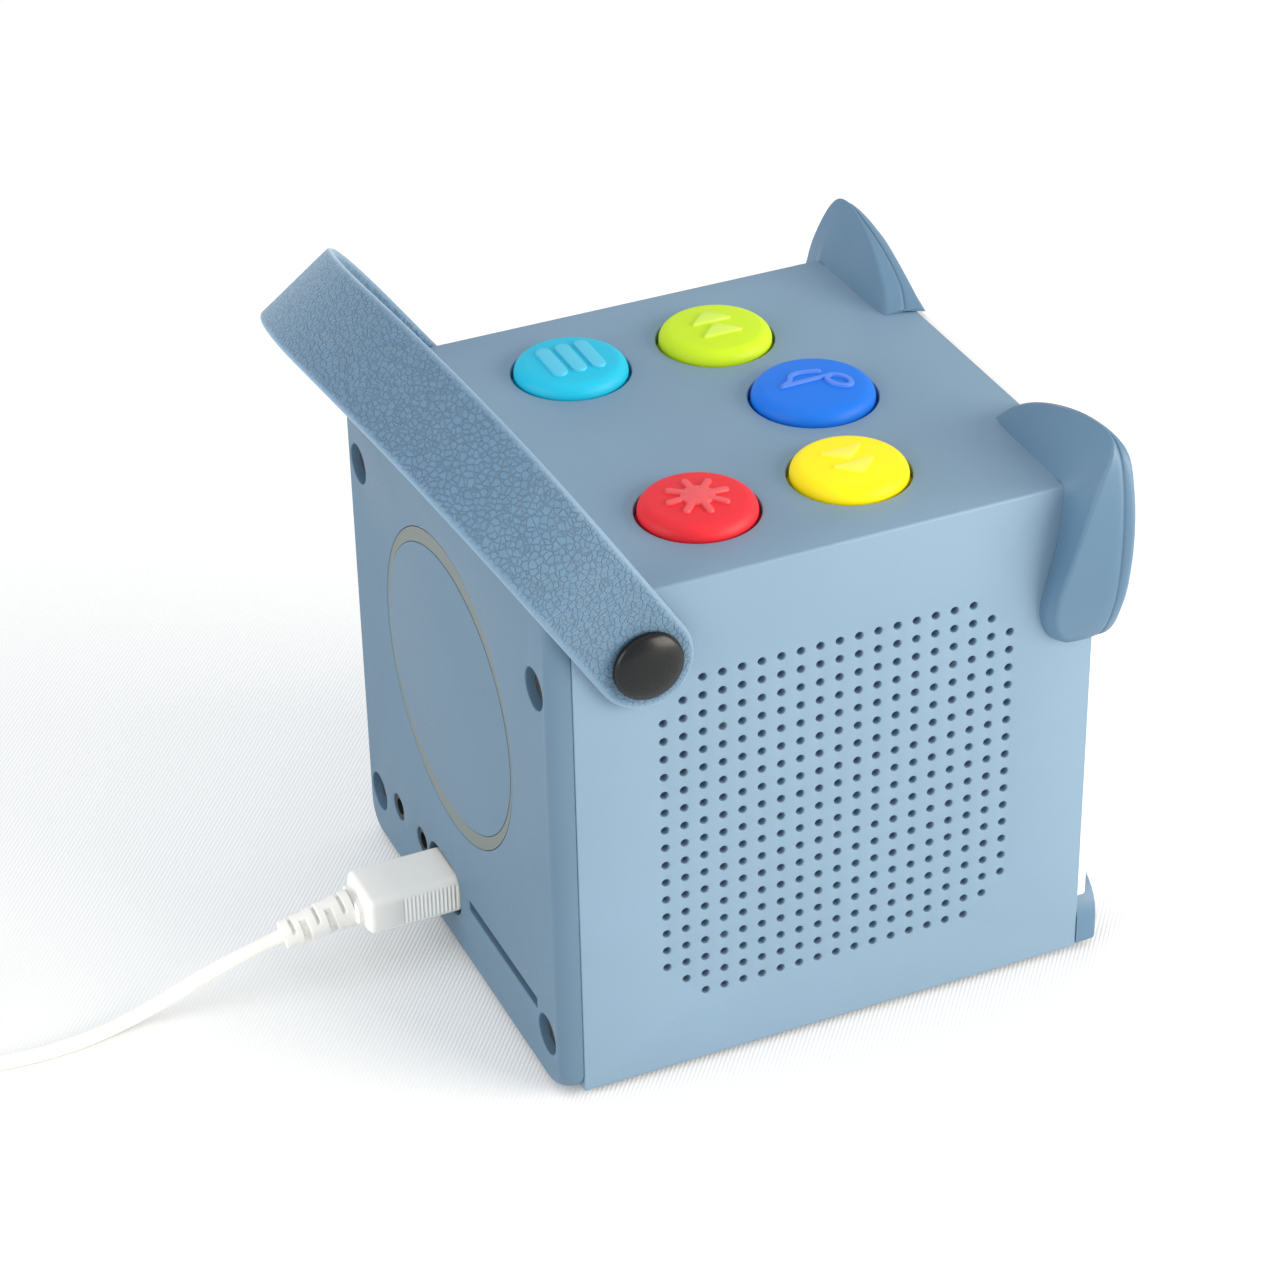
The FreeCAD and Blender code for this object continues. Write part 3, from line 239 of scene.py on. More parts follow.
def circle(middle, radius, steps):
    """Points round a circle, or an ellipse where the radius is a pair."""
    angle = np.arange(steps) * 2 * math.pi / steps
    return np.asarray(middle) + np.stack([np.cos(angle), np.sin(angle)], -1) * np.asarray(radius)


def rectangle(low, high):
    """Corners of a rectangle, anticlockwise from the lower left one."""
    return np.array([low, (high[0], low[1]), high, (low[0], high[1])])


def on_plane(axis, level):
    """Placer: flat points go on the plane across an axis of the frame, at a level of it."""
    return lambda flat: np.insert(flat, axis, level, axis=1)


def rounded_outline(low, high, radius, steps=ROUND_STEPS):
    """Rectangle with quarter-circle corners, anticlockwise from the lower right corner."""
    turn = np.linspace(0, math.pi / 2, steps + 1)
    arc = np.stack([np.sin(turn), -np.cos(turn)], -1) * radius
    corners = []
    centres = ((high[0] - radius, low[1] + radius), (high[0] - radius, high[1] - radius),
               (low[0] + radius, high[1] - radius), (low[0] + radius, low[1] + radius))
    for quarter, centre in enumerate(centres):
        angle = quarter * math.pi / 2
        spin = np.array([[math.cos(angle), math.sin(angle)], [-math.sin(angle), math.cos(angle)]])
        corners.append(arc @ spin + centre)
    return np.concatenate(corners)


def through(points, count):
    """Smooth curve through the points: a Catmull-Rom spline over the first axis."""
    points = np.asarray(points, float)
    padded = np.concatenate([2 * points[:1] - points[1:2], points, 2 * points[-1:] - points[-2:-1]])
    place = np.linspace(0, len(points) - 1, count)
    index = np.minimum(place.astype(int), len(points) - 2)
    t = (place - index).reshape((-1,) + (1,) * (points.ndim - 1))
    a, b, c, d = (padded[index + shift] for shift in range(4))
    return 0.5 * (2 * b + (c - a) * t + (2 * a - 5 * b + 4 * c - d) * t ** 2
                  + (3 * b - a - 3 * c + d) * t ** 3)


def eased(points, count, degree=3):
    """Rounded curve along a row of control points: a clamped uniform B-spline over the first
    axis, from the basis recursion."""
    points = np.asarray(points, float)
    inner = len(points) - degree
    knots = np.concatenate([np.zeros(degree), np.arange(inner + 1), np.full(degree, inner)])
    place = np.linspace(0, inner - 1e-9, count)[:, None]
    basis = ((knots[:-1] <= place) & (place < knots[1:])).astype(float)
    for order in range(1, degree + 1):
        left = knots[order:-1] - knots[:-order - 1]
        right = knots[order + 1:] - knots[1:-order]
        rise = (place - knots[:-order - 1]) / np.where(left > 0, left, 1)
        fall = (knots[order + 1:] - place) / np.where(right > 0, right, 1)
        basis = basis[:, :-1] * np.where(left > 0, rise, 0) + basis[:, 1:] * np.where(right > 0, fall, 0)
    return np.tensordot(basis, points, axes=(1, 0))


def turned_grid(profile, middle, direction, steps=48):
    """Surface of revolution: (radius, height) pairs swept round an axis through the middle."""
    profile = np.asarray(profile, float)
    angle = np.arange(steps) * 2 * math.pi / steps
    radius, height = profile[:, 0, None], profile[:, 1, None]
    local = np.stack([radius * np.cos(angle), radius * np.sin(angle),
                      np.broadcast_to(height, (len(profile), steps))], -1)
    spin = np.array(Vector((0, 0, 1)).rotation_difference(Vector(direction)).to_matrix())
    return local @ spin.T + np.asarray(middle)


def quarter_roll(radius, steps=4):
    """(inset, drop) pairs of a rounded edge, from its flat side to its upright side."""
    turn = np.linspace(0, math.pi / 2, steps + 1)
    return radius * (1 - np.sin(turn)), radius * (1 - np.cos(turn))


def rolled_hole(patches, loop, depth, roll, lift):
    """Rim of a hole: a small roll from the face, then the bore. lift(points, depth) places it."""
    outward = outward_of(loop)
    rows = [lift(loop + outward * step, sink) for step, sink in zip(*quarter_roll(roll))]
    patches.skirt(*rows, lift(loop, depth))


def outward_of(loop):
    """Unit vectors out of a closed anticlockwise outline at each of its points."""
    along = np.roll(loop, -1, 0) - np.roll(loop, 1, 0)
    normal = np.stack([along[:, 1], -along[:, 0]], -1)
    return normal / np.linalg.norm(normal, axis=1, keepdims=True)


def section_loops(stations, low, high, radius, growth=0.0):
    """Outlines of a rounded box across Y: one (y, inset) pair gives one loop of points. The
    corners' radius grows with the inset."""
    return np.stack([
        on_plane(1, y)(rounded_outline(low + inset, high - inset, radius + growth * inset))
        for y, inset in stations])


# ---------------------------------------------------------------- materials

class Shader:
    """A material, or a node group, under construction."""

    def __init__(self, tree):
        self.tree = tree

    def feed(self, item, inputs):
        """Link each of a node's inputs to a socket, or give it a value."""
        for name, value in inputs.items():
            if isinstance(value, bpy.types.NodeSocket):
                self.tree.links.new(value, item.inputs[name])
            else:
                item.inputs[name].default_value = value
        return item

    def node(self, kind, inputs=None, **options):
        """New node: its options are set first, since they decide which inputs it has."""
        item = self.tree.nodes.new(kind)
        for name, value in options.items():
            setattr(item, name, value)
        return self.feed(item, inputs or {})

    def math(self, operation, *values, kind="ShaderNodeMath"):
        """Result of an operation on numbers."""
        return self.node(kind, dict(enumerate(values)), operation=operation).outputs[0]

    def vector_math(self, operation, *values):
        """Result of an operation on vectors."""
        return self.math(operation, *values, kind="ShaderNodeVectorMath")

    def mix(self, mask, *colours):
        """Blend of two colours, each a tuple or a socket."""
        first, second = (colour if isinstance(colour, bpy.types.NodeSocket) else (*colour, 1)
                         for colour in colours)
        return self.node("ShaderNodeMix", {0: mask, 6: first, 7: second}, data_type="RGBA").outputs[2]

    def span(self, value, low, high, out_low, out_high, kind="LINEAR"):
        """Value that runs from one range to another."""
        return self.node("ShaderNodeMapRange", {
            "Value": value, "From Min": low, "From Max": high, "To Min": out_low,
            "To Max": out_high}, interpolation_type=kind).outputs["Result"]


def new_group(name, inputs, outputs):
    """Empty node group with named float inputs, a Position and named outputs."""
    group = bpy.data.node_groups.new(name, "ShaderNodeTree")
    for label, default in inputs.items():
        socket = group.interface.new_socket(label, in_out="INPUT", socket_type="NodeSocketFloat")
        socket.default_value = default
    group.interface.new_socket("Position", in_out="INPUT", socket_type="NodeSocketVector")
    for label in outputs:
        group.interface.new_socket(label, in_out="OUTPUT", socket_type="NodeSocketFloat")
    shader = Shader(group)
    return group, shader, shader.node("NodeGroupInput").outputs, shader.node("NodeGroupOutput")


def grain_group():
    """Fine moulded grain: Height is the spark-eroded skin, Tone its broad uneven shade."""
    name = "Moulded grain"
    if name in bpy.data.node_groups:
        return bpy.data.node_groups[name]
    group, shader, given, result = new_group(
        name, {"Fineness": 2600.0, "Breadth": 28.0}, ("Height", "Tone"))
    fine = shader.node("ShaderNodeTexNoise", {
        "Vector": given["Position"], "Scale": given["Fineness"], "Detail": 3.0, "Roughness": 0.6})
    broad = shader.node("ShaderNodeTexNoise", {
        "Vector": given["Position"], "Scale": given["Breadth"], "Detail": 2.0})
    shader.feed(result, {"Height": fine.outputs["Fac"], "Tone": broad.outputs["Fac"]})
    return group


def crackle_group():
    """Crackled skin: Crease is 1 in the creases between cells, Cell a random tone per cell."""
    name = "Crackled skin"
    if name in bpy.data.node_groups:
        return bpy.data.node_groups[name]
    group, shader, given, result = new_group(
        name, {"Cells": 800.0, "Crease": 0.16}, ("Crease", "Cell"))
    warp = shader.node("ShaderNodeTexNoise", {
        "Vector": given["Position"], "Scale": given["Cells"], "Detail": 2.0})
    shift = shader.vector_math("SUBTRACT", warp.outputs["Color"], (0.5, 0.5, 0.5))
    moved = shader.vector_math("MULTIPLY_ADD", shift, (0.0008, 0.0008, 0.0008), given["Position"])
    places = {"Vector": moved, "Scale": given["Cells"], "Randomness": 1.0}
    edge = shader.node("ShaderNodeTexVoronoi", places, feature="DISTANCE_TO_EDGE")
    cell = shader.node("ShaderNodeTexVoronoi", places)
    tone = shader.node("ShaderNodeSeparateColor", {"Color": cell.outputs["Color"]})
    crease = shader.span(edge.outputs["Distance"], 0.0, given["Crease"], 1.0, 0.0, "SMOOTHSTEP")
    shader.feed(result, {"Crease": crease, "Cell": tone.outputs["Red"]})
    return group


def start_material(name):
    """New material with its Principled shader and Object coordinates."""
    material = bpy.data.materials.new(name)
    material.use_nodes = True
    shader = Shader(material.node_tree)
    principled = material.node_tree.nodes["Principled BSDF"]
    position = shader.node("ShaderNodeTexCoord").outputs["Object"]
    return material, shader, principled, position


def dress(shader, principled, inputs, height, strength, distance):
    """Feed the Principled shader, with a bump from a height."""
    bump = shader.node("ShaderNodeBump", {
        "Height": height, "Strength": strength, "Distance": distance})
    shader.feed(principled, {**inputs, "Normal": bump.outputs["Normal"]})


def moulded(name, colour, roughness=0.5, grain=0.00002, fineness=2600.0, uneven=0.02, soft=0.0,
            gloss=0.5):
    """Moulded plastic or rubber: one colour with a slightly uneven shade and a fine grain."""
    material, shader, principled, position = start_material(name)
    skin = shader.node("ShaderNodeGroup", {"Fineness": fineness, "Position": position},
                       node_tree=grain_group()).outputs
    darker = tuple(part * (1 - uneven) for part in colour)
    lighter = tuple(min(part * (1 + uneven), 1.0) for part in colour)
    dress(shader, principled, {
        "Base Color": shader.mix(shader.span(skin["Tone"], 0.35, 0.65, 0, 1), darker, lighter),
        "Roughness": shader.span(skin["Height"], 0.3, 0.7, roughness - 0.05, roughness + 0.05),
        "Subsurface Weight": soft,
        "Subsurface Radius": (0.001, 0.001, 0.001),
        "Specular IOR Level": gloss,
    }, skin["Height"], 1.0, grain)
    return material


def metal(name, colour, roughness=0.3, stretch=(60.0, 60.0, 1500.0)):
    """Drawn or stamped metal with fine stretched lines."""
    material, shader, principled, position = start_material(name)
    lines = shader.node("ShaderNodeTexNoise", {
        "Vector": shader.vector_math("MULTIPLY", position, stretch), "Scale": 1.0, "Detail": 3.0})
    dress(shader, principled, {
        "Base Color": (*colour, 1),
        "Metallic": 1.0,
        "Roughness": shader.span(lines.outputs["Fac"], 0.3, 0.7, roughness - 0.08, roughness + 0.1),
    }, lines.outputs["Fac"], 0.3, 0.00002)
    return material


def circuit(name, colour, track_colour):
    """Solder mask over copper tracks: a chequer of lines shows faintly under the lacquer."""
    material, shader, principled, position = start_material(name)
    brick = shader.node("ShaderNodeTexBrick", {
        "Vector": position, "Scale": 260.0, "Mortar Size": 0.012,
        "Color1": (*colour, 1), "Color2": (*tuple(part * 0.85 for part in colour), 1),
        "Mortar": (*track_colour, 1)})
    dress(shader, principled, {"Base Color": brick.outputs["Color"], "Roughness": 0.35},
          brick.outputs["Fac"], 0.2, 0.00004)
    return material


def crackled(name, cell_colour, crease_colour, border_colour, cell_size):
    """Artificial leather: crackled cells, and a smooth lighter band along the cut edges, which
    the strap's from_edge attribute tells."""
    material, shader, principled, position = start_material(name)
    cells = shader.node("ShaderNodeGroup", {"Cells": 1 / cell_size, "Position": position},
                        node_tree=crackle_group()).outputs
    grain = shader.node("ShaderNodeGroup", {"Fineness": 3000.0, "Position": position},
                        node_tree=grain_group()).outputs["Height"]
    from_edge = shader.node("ShaderNodeAttribute", attribute_name="from_edge").outputs["Fac"]
    border = shader.span(from_edge, 0.0004, 0.0015, 1, 0)
    shade = shader.mix(cells["Cell"], cell_colour, tuple(min(part * 1.12, 1.0) for part in cell_colour))
    shade = shader.mix(shader.math("MULTIPLY", cells["Crease"], 0.62), shade, crease_colour)
    shade = shader.mix(shader.span(grain, 0.45, 0.75, 0, 0.25), shade, border_colour)
    shade = shader.mix(border, shade, border_colour)
    depth = shader.math("MULTIPLY", cells["Crease"], shader.math("SUBTRACT", 1.0, border))
    height = shader.math("SUBTRACT", shader.math("MULTIPLY", grain, 0.25), depth)
    dress(shader, principled, {
        "Base Color": shade,
        "Roughness": 0.62,
        "Sheen Weight": 0.6,
        "Sheen Tint": (0.66, 0.84, 1.0, 1),
        "Sheen Roughness": 0.45,
    }, height, 0.8, 0.00018)
    return material


def woven_floor(name, colour):
    """Pale studio cloth with fine slanting ribs."""
    material, shader, principled, position = start_material(name)
    across = shader.node("ShaderNodeVectorRotate", {
        "Vector": position, "Angle": math.radians(-52)}, rotation_type="Z_AXIS")
    rib = shader.node("ShaderNodeTexWave", {
        "Vector": across.outputs[0], "Scale": 380.0, "Distortion": 0.8, "Detail": 2.0,
        "Detail Scale": 3.0}, bands_direction="X").outputs["Fac"]
    shade = shader.mix(rib, tuple(part * 0.955 for part in colour), colour)
    dress(shader, principled, {"Base Color": shade, "Roughness": 0.9}, rib, 0.2, 0.0002)
    return material


# ---------------------------------------------------------------- stage

CAMERA_PLACE = (-0.5819, 0.2686, 0.4727)
CAMERA_AIM = (0.01385, 0.00977, 0.056)
CAMERA_ROLL = -1.206
CAMERA_LENS = 106.48
FLOOR_REACH = 2.2
WORLD_COLOUR = (0.95, 0.97, 1.0, 1)
WORLD_STRENGTH = 0.74
# Name, place, aim, size, power and colour of each area light.
LIGHTS = [
    ("side_window", (-0.95, -1.0, 0.45), (0, 0, 0.05), (1.2, 0.9), 27, (1.0, 0.9, 0.78)),
    ("rear_window", (-0.15, 1.3, 0.5), (0, 0, 0.05), (1.2, 0.8), 12, (1.0, 0.95, 0.88)),
    ("overhead", (0.1, 0.2, 1.4), (0, 0, 0), (1.4, 1.4), 3, (1, 1, 1)),
]


def area_light(name, place, aim, size, power, colour):
    """Add a rectangular light that faces its aim."""
    data = bpy.data.lights.new(name, "AREA")
    data.shape = "RECTANGLE"
    data.size, data.size_y = size
    data.energy = power
    data.color = colour
    lamp = bpy.data.objects.new(name, data)
    lamp.location = place
    lamp.rotation_mode = "QUATERNION"
    lamp.rotation_quaternion = (Vector(aim) - Vector(place)).to_track_quat("-Z", "Y")
    bpy.context.scene.collection.objects.link(lamp)


class STORY_OT_stage(bpy.types.Operator):
    """Add the camera, the soft lights and the pale floor"""
    bl_idname = "story_player.stage"
    bl_label = "Stage"

    def execute(self, context):
        data = bpy.data.cameras.new("camera")
        data.lens = CAMERA_LENS
        data.sensor_width = 36.0
        data.clip_start = 0.01
        camera = bpy.data.objects.new("camera", data)
        camera.location = CAMERA_PLACE
        camera.rotation_mode = "QUATERNION"
        gaze = (Vector(CAMERA_AIM) - Vector(CAMERA_PLACE)).to_track_quat("-Z", "Y")
        camera.rotation_quaternion = gaze @ Quaternion((0, 0, 1), math.radians(CAMERA_ROLL))
        context.scene.collection.objects.link(camera)
        context.scene.camera = camera
        context.scene.view_settings.view_transform = "Standard"

        world = bpy.data.worlds.new("studio")
        world.use_nodes = True
        background = world.node_tree.nodes["Background"]
        background.inputs["Color"].default_value = WORLD_COLOUR
        background.inputs["Strength"].default_value = WORLD_STRENGTH
        context.scene.world = world
        for light in LIGHTS:
            area_light(*light)

        floor = Patches()
        ends = (-FLOOR_REACH, FLOOR_REACH)
        floor.grid(np.array([[(x, y, 0.0) for y in ends] for x in ends]))
        sheet = floor.build("studio_floor")
        sheet.data.materials.append(woven_floor("studio cloth", (0.93, 0.94, 0.94)))
        return {"FINISHED"}


# ---------------------------------------------------------------- shell

END_ROLL = 0.25 * MM
GRILLE_RIM = 0.22 * MM
BUTTON_RIM = 0.3 * MM


def grille_holes(extra=0.0):
    """Round holes of the speaker grille: a square field of holes with its corners cut off."""
    place = (np.arange(GRILLE_COUNT) - (GRILLE_COUNT - 1) / 2) * GRILLE_PITCH
    from_end = np.minimum(np.arange(GRILLE_COUNT), np.arange(GRILLE_COUNT)[::-1])
    rows, columns = np.nonzero(from_end[:, None] + from_end[None, :] >= GRILLE_CORNER)
    middles = np.stack([place[rows] + GRILLE_MIDDLE[0], place[columns] + GRILLE_MIDDLE[1]], -1)
    return [circle(middle, GRILLE_HOLE + extra, 16) for middle in middles]


def button_holes(extra=0.0):
    """Holes of the top wall: one round each cap, with the gap between them."""
    sizes = [cap_size(name) for name in CAP_SLOTS]
    return [circle(middle, radius + CAP_GAP + extra, 72) for middle, radius in sizes]


def cap_size(name):
    """Middle and radius of a cap, from its node, which has the flange too."""
    low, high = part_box(f"{name}_button")
    return ((low[0] + high[0]) / 2, (low[1] + high[1]) / 2), (high[0] - low[0]) / 2 - CAP_FLANGE


def pierced_wall(patches, holes, rim, axis, face, inward, outer, inner):
    """Wall with holes: its outer face, their rolled rims and bores, and its inner face."""
    patches.plate(outer, holes(rim), on_plane(axis, face))
    for loop in holes():
        rolled_hole(patches, loop, WALL, rim,
                    lambda flat, depth: on_plane(axis, face + inward * depth)(flat))
    patches.plate(inner, holes(), on_plane(axis, face + inward * WALL))


class STORY_OT_shell(bpy.types.Operator):
    """Build the moulded shell with its speaker grille and button holes"""
    bl_idname = "story_player.shell"
    bl_label = "Shell"

    def execute(self, context):
        front = SHELL_LOW[1]
        near, far = front + END_ROLL, SEAM - END_ROLL
        inset, drop = quarter_roll(END_ROLL, 3)
        ends = list(zip(front + inset[::-1], drop[::-1]))
        loops = section_loops([*ends, *zip(SEAM - inset, drop)], BODY_LOW, BODY_HIGH, EDGE)
        keep = np.ones((len(loops) - 1, loops.shape[1]), bool)
        arc = ROUND_STEPS + 1
        keep[len(ends) - 1, [2 * arc - 1, 3 * arc - 1]] = False
        shell = Patches()
        shell.grid(loops, wrap_v=True, keep=keep)

        pierced_wall(shell, grille_holes, GRILLE_RIM, 0, -HALF, 1,
                     rectangle((near, FLOOR_EDGE + EDGE), (far, TOP - EDGE)),
                     rectangle((front, FLOOR_EDGE + WALL), (SEAM, TOP - WALL)))
        pierced_wall(shell, button_holes, BUTTON_RIM, 2, TOP, -1,
                     rectangle((-HALF + EDGE, near), (HALF - EDGE, far)),
                     rectangle((-HALF + WALL, front), (HALF - WALL, SEAM)))

        inner = np.roll(rectangle(BODY_LOW + WALL, BODY_HIGH - WALL), 1, axis=0)
        rows = [on_plane(1, y)(inner) for y in (front, SEAM)]
        shell.grid(np.stack(rows), keep=np.array([[False, True, True]]))
        for y, loop in ((front, loops[0]), (SEAM, loops[-1])):
            shell.plate(loop[:, [0, 2]], [inner], on_plane(1, y))
        finish_piece(shell.build("shell_body"), moulded("shell plastic", settings().shell_colour),
                     "housing", ["main_shell"])
        return {"FINISHED"}


# ---------------------------------------------------------------- rear cover

RECESSES = [(x * MM, z * MM) for x in (-45.6, 45.4) for z in (12.8, 92.9)]
RECESS_RADIUS = 4.2 * MM
RECESS_DEPTH = 3.4 * MM
BORE_RADIUS = 1.6 * MM
WELL_RADIUS = 5.2 * MM
RIM = 0.3 * MM
JACKS = [(33.7 * MM, 16.1 * MM), (20.3 * MM, 16.1 * MM)]
JACK_RADIUS = 2.95 * MM
COVER_CORNER = 4.6 * MM
COVER_LIP = 0.2 * MM
BADGE = (0.0, 65.8 * MM)
BADGE_RADIUS = 32.7 * MM
BADGE_DEPTH = 1.1 * MM
BADGE_STEPS = 128
DISC = (31.8 * MM, 28.9 * MM)
DISC_EDGE = 0.12 * MM
USB_LOW, USB_HIGH = (-0.9 * MM, 9.0 * MM), (16.4 * MM, 20.6 * MM)
USB_CORNER = 4.8 * MM
CARD_LOW, CARD_HIGH = (-41.0 * MM, 15.85 * MM), (-5.8 * MM, 18.35 * MM)
CARD_CORNER = 0.3 * MM


def on_rear(flat, depth=0.0):
    """Flat (x, z) points on the rear face, sunk by a depth."""
    return on_plane(1, REAR - depth)(flat)


def sunk_by(depth):
    """Placer on the rear face at a fixed depth."""
    return on_plane(1, REAR - depth)


class STORY_OT_rear(bpy.types.Operator):
    """Build the rear cover with its recesses, sockets' openings and round insert"""
    bl_idname = "story_player.rear"
    bl_label = "Rear cover"

    def execute(self, context):
        deep = REAR - COVER_LOW[1]
        stations = [(COVER_LOW[1], COVER_LIP), (COVER_LOW[1] + COVER_LIP, 0.0)]
        inset, drop = quarter_roll(1.0, 8)
        stations += zip(REAR - 0.8 * deep * inset, settings().edge_roll * drop)
        loops = section_loops(stations, BODY_LOW, BODY_HIGH, COVER_CORNER, 0.5)
        cover = Patches()
        cover.skirt(*loops)

        recesses = [circle(middle, RECESS_RADIUS, 40) for middle in RECESSES]
        openings = [circle(middle, JACK_RADIUS, 32) for middle in JACKS]
        openings.append(rounded_outline(USB_LOW, USB_HIGH, USB_CORNER, 8))
        openings.append(rounded_outline(CARD_LOW, CARD_HIGH, CARD_CORNER, 2))
        pocket = circle(BADGE, BADGE_RADIUS, BADGE_STEPS)
        cuts = [(loop, RECESS_DEPTH) for loop in recesses] + [(loop, WALL) for loop in openings]
        cuts.append((pocket, BADGE_DEPTH))
        cover.plate(loops[-1][:, [0, 2]], [loop + outward_of(loop) * RIM for loop, _ in cuts], on_rear)
        for loop, depth in cuts:
            rolled_hole(cover, loop, depth, RIM, on_rear)
        cover.plate(pocket, [], sunk_by(BADGE_DEPTH))

        bores = [circle(middle, BORE_RADIUS, 24) for middle in RECESSES]
        for loop, bore in zip(recesses, bores):
            cover.plate(loop, [bore], sunk_by(RECESS_DEPTH))
            cover.skirt(on_rear(bore, RECESS_DEPTH), on_rear(bore, deep))
        hollow = self.hollow()
        cover.plate(loops[0][:, [0, 2]], [hollow, *bores], sunk_by(deep))
        cover.skirt(on_rear(hollow, deep), on_rear(hollow, WALL))
        cover.plate(hollow, openings, sunk_by(WALL))
        plastic = moulded("cover plastic", settings().cover_colour)
        finish_piece(cover.build("rear_cover_body"), plastic, "housing", ["rear_cover"])
        self.insert(plastic)
        return {"FINISHED"}

    def hollow(self):
        """Outline of the cover's inside: a rectangle less the round wells of the screws, which
        grow out of its sides."""
        side, low, high = HALF - WALL, FLOOR_EDGE + WALL, TOP - WALL
        arcs = []
        for number, start in ((2, 0.0), (3, 0.0), (1, math.pi), (0, math.pi)):
            x, z = RECESSES[number]
            opening = math.acos((side - abs(x)) / WELL_RADIUS)
            turn = start - np.linspace(opening, 2 * math.pi - opening, 21)
            arcs.append(np.stack([np.cos(turn), np.sin(turn)], -1) * WELL_RADIUS + (x, z))
        return np.concatenate([[(side, low)], *arcs[:2], [(side, high), (-side, high)], *arcs[2:],
                               [(-side, low)]])

    def insert(self, plastic):
        """Grey ring and blue disc: plates with finely rolled edges in the cover's pocket."""
        under = BADGE_DEPTH - 0.05 * MM
        loop = circle(BADGE, DISC, BADGE_STEPS)
        outward = outward_of(loop)
        rows = [on_rear(loop - outward * drop, sink) for sink, drop in zip(*quarter_roll(DISC_EDGE, 3))]
        disc = Patches()
        disc.skirt(on_rear(loop, under), *rows)
        disc.plate(loop - outward * DISC_EDGE, [], on_rear)
        disc.plate(loop, [], sunk_by(under))
        finish_piece(disc.build("rear_disc_plate"), plastic, "housing", ["rear_disc"])

        inner = circle(BADGE, np.array(DISC) + DISC_EDGE, BADGE_STEPS)
        outer = circle(BADGE, BADGE_RADIUS - DISC_EDGE, BADGE_STEPS)
        ring = Patches()
        for depth in (DISC_EDGE, under):
            ring.plate(outer, [inner], sunk_by(depth))
        for loop in (outer, inner):
            ring.skirt(on_rear(loop, DISC_EDGE), on_rear(loop, under))
        finish_piece(ring.build("rear_ring_plate"),
                     moulded("ring print", settings().ring_colour, roughness=0.4), "housing",
                     ["rear_ring"])


# ---------------------------------------------------------------- front

def rolled_plate(patches, loop, face, back, edge):
    """Plate seen from -Y: a flat face, a rolled edge all round it and a flat back."""
    outward = outward_of(loop)
    rows = [on_plane(1, back)(loop)]
    rows += [on_plane(1, face + sink)(loop - outward * drop)
             for sink, drop in zip(*quarter_roll(edge, 5))]
    patches.skirt(*rows)
    patches.plate(rows[-1][:, [0, 2]], [], on_plane(1, face))
    patches.plate(loop, [], on_plane(1, back))


# Control points round the paw on the +X side: (x, z) in millimetres, in the shared frame.
PAW_OUTLINE = [
    (40.0, 1.4), (48.6, 1.4), (52.2, 1.4), (52.2, 5.0), (52.2, 9.4), (50.8, 12.8), (47.8, 15.8),
    (44.0, 17.6), (39.2, 16.8), (34.4, 13.8), (30.6, 9.6), (28.2, 5.8), (26.6, 1.4), (31.0, 1.4),
    (40.0, 1.4)]
PAW_BACK = -57.02 * MM
PAW_EDGE = 0.7 * MM
PANEL_BACK = -57.05 * MM
PANEL_INSIDE = -54.3 * MM
PANEL_MARGIN = 1.5 * MM
PANEL_CORNER = 8 * MM
PANEL_EDGE = 0.8 * MM
PANEL_LIP = 1.1 * MM


def panel_outline(inset=0.0):
    """Outline of the light panel, or of its inside, which is smaller by an inset."""
    margin = PANEL_MARGIN + inset
    return rounded_outline(BODY_LOW + margin, BODY_HIGH - margin, PANEL_CORNER - inset, 10)


class STORY_OT_front(bpy.types.Operator):
    """Build the front light panel and the corner paws"""
    bl_idname = "story_player.front"
    bl_label = "Front panel and paws"

    def execute(self, context):
        panel = Patches()
        rolled_plate(panel, panel_outline(), PANEL_FRONT, PANEL_BACK, PANEL_EDGE)
        inner = panel_outline(PANEL_LIP)
        panel.skirt(*(on_plane(1, y)(inner) for y in (PANEL_BACK, PANEL_INSIDE)))
        panel.plate(inner, [], on_plane(1, PANEL_INSIDE))
        finish_piece(panel.build("front_diffuser"),
                     moulded("diffuser", srgb(238, 239, 238), roughness=0.42, soft=0.3),
                     "housing", ["front_panel"])
        paw_plastic = moulded("paw plastic", settings().ear_colour, roughness=0.45)
        for name, side in SIDES.items():
            low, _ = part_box(f"{name}_paw")
            finish_piece(self.paw(name, side, low), paw_plastic, "housing",
                         [f"{name}_paw"])
        return {"FINISHED"}

    def paw(self, name, side, low):
        """Lobe in the lower corner: a rounded outline with a soft edge round its front face."""
        loop = eased(PAW_OUTLINE, 96, 2)[:-1] * (side * MM, MM)
        if side < 0:
            loop = loop[::-1]
        paw = Patches()
        rolled_plate(paw, loop, low[1], PAW_BACK, PAW_EDGE)
        return paw.build(f"{name}_paw_lobe")


# ---------------------------------------------------------------- ears

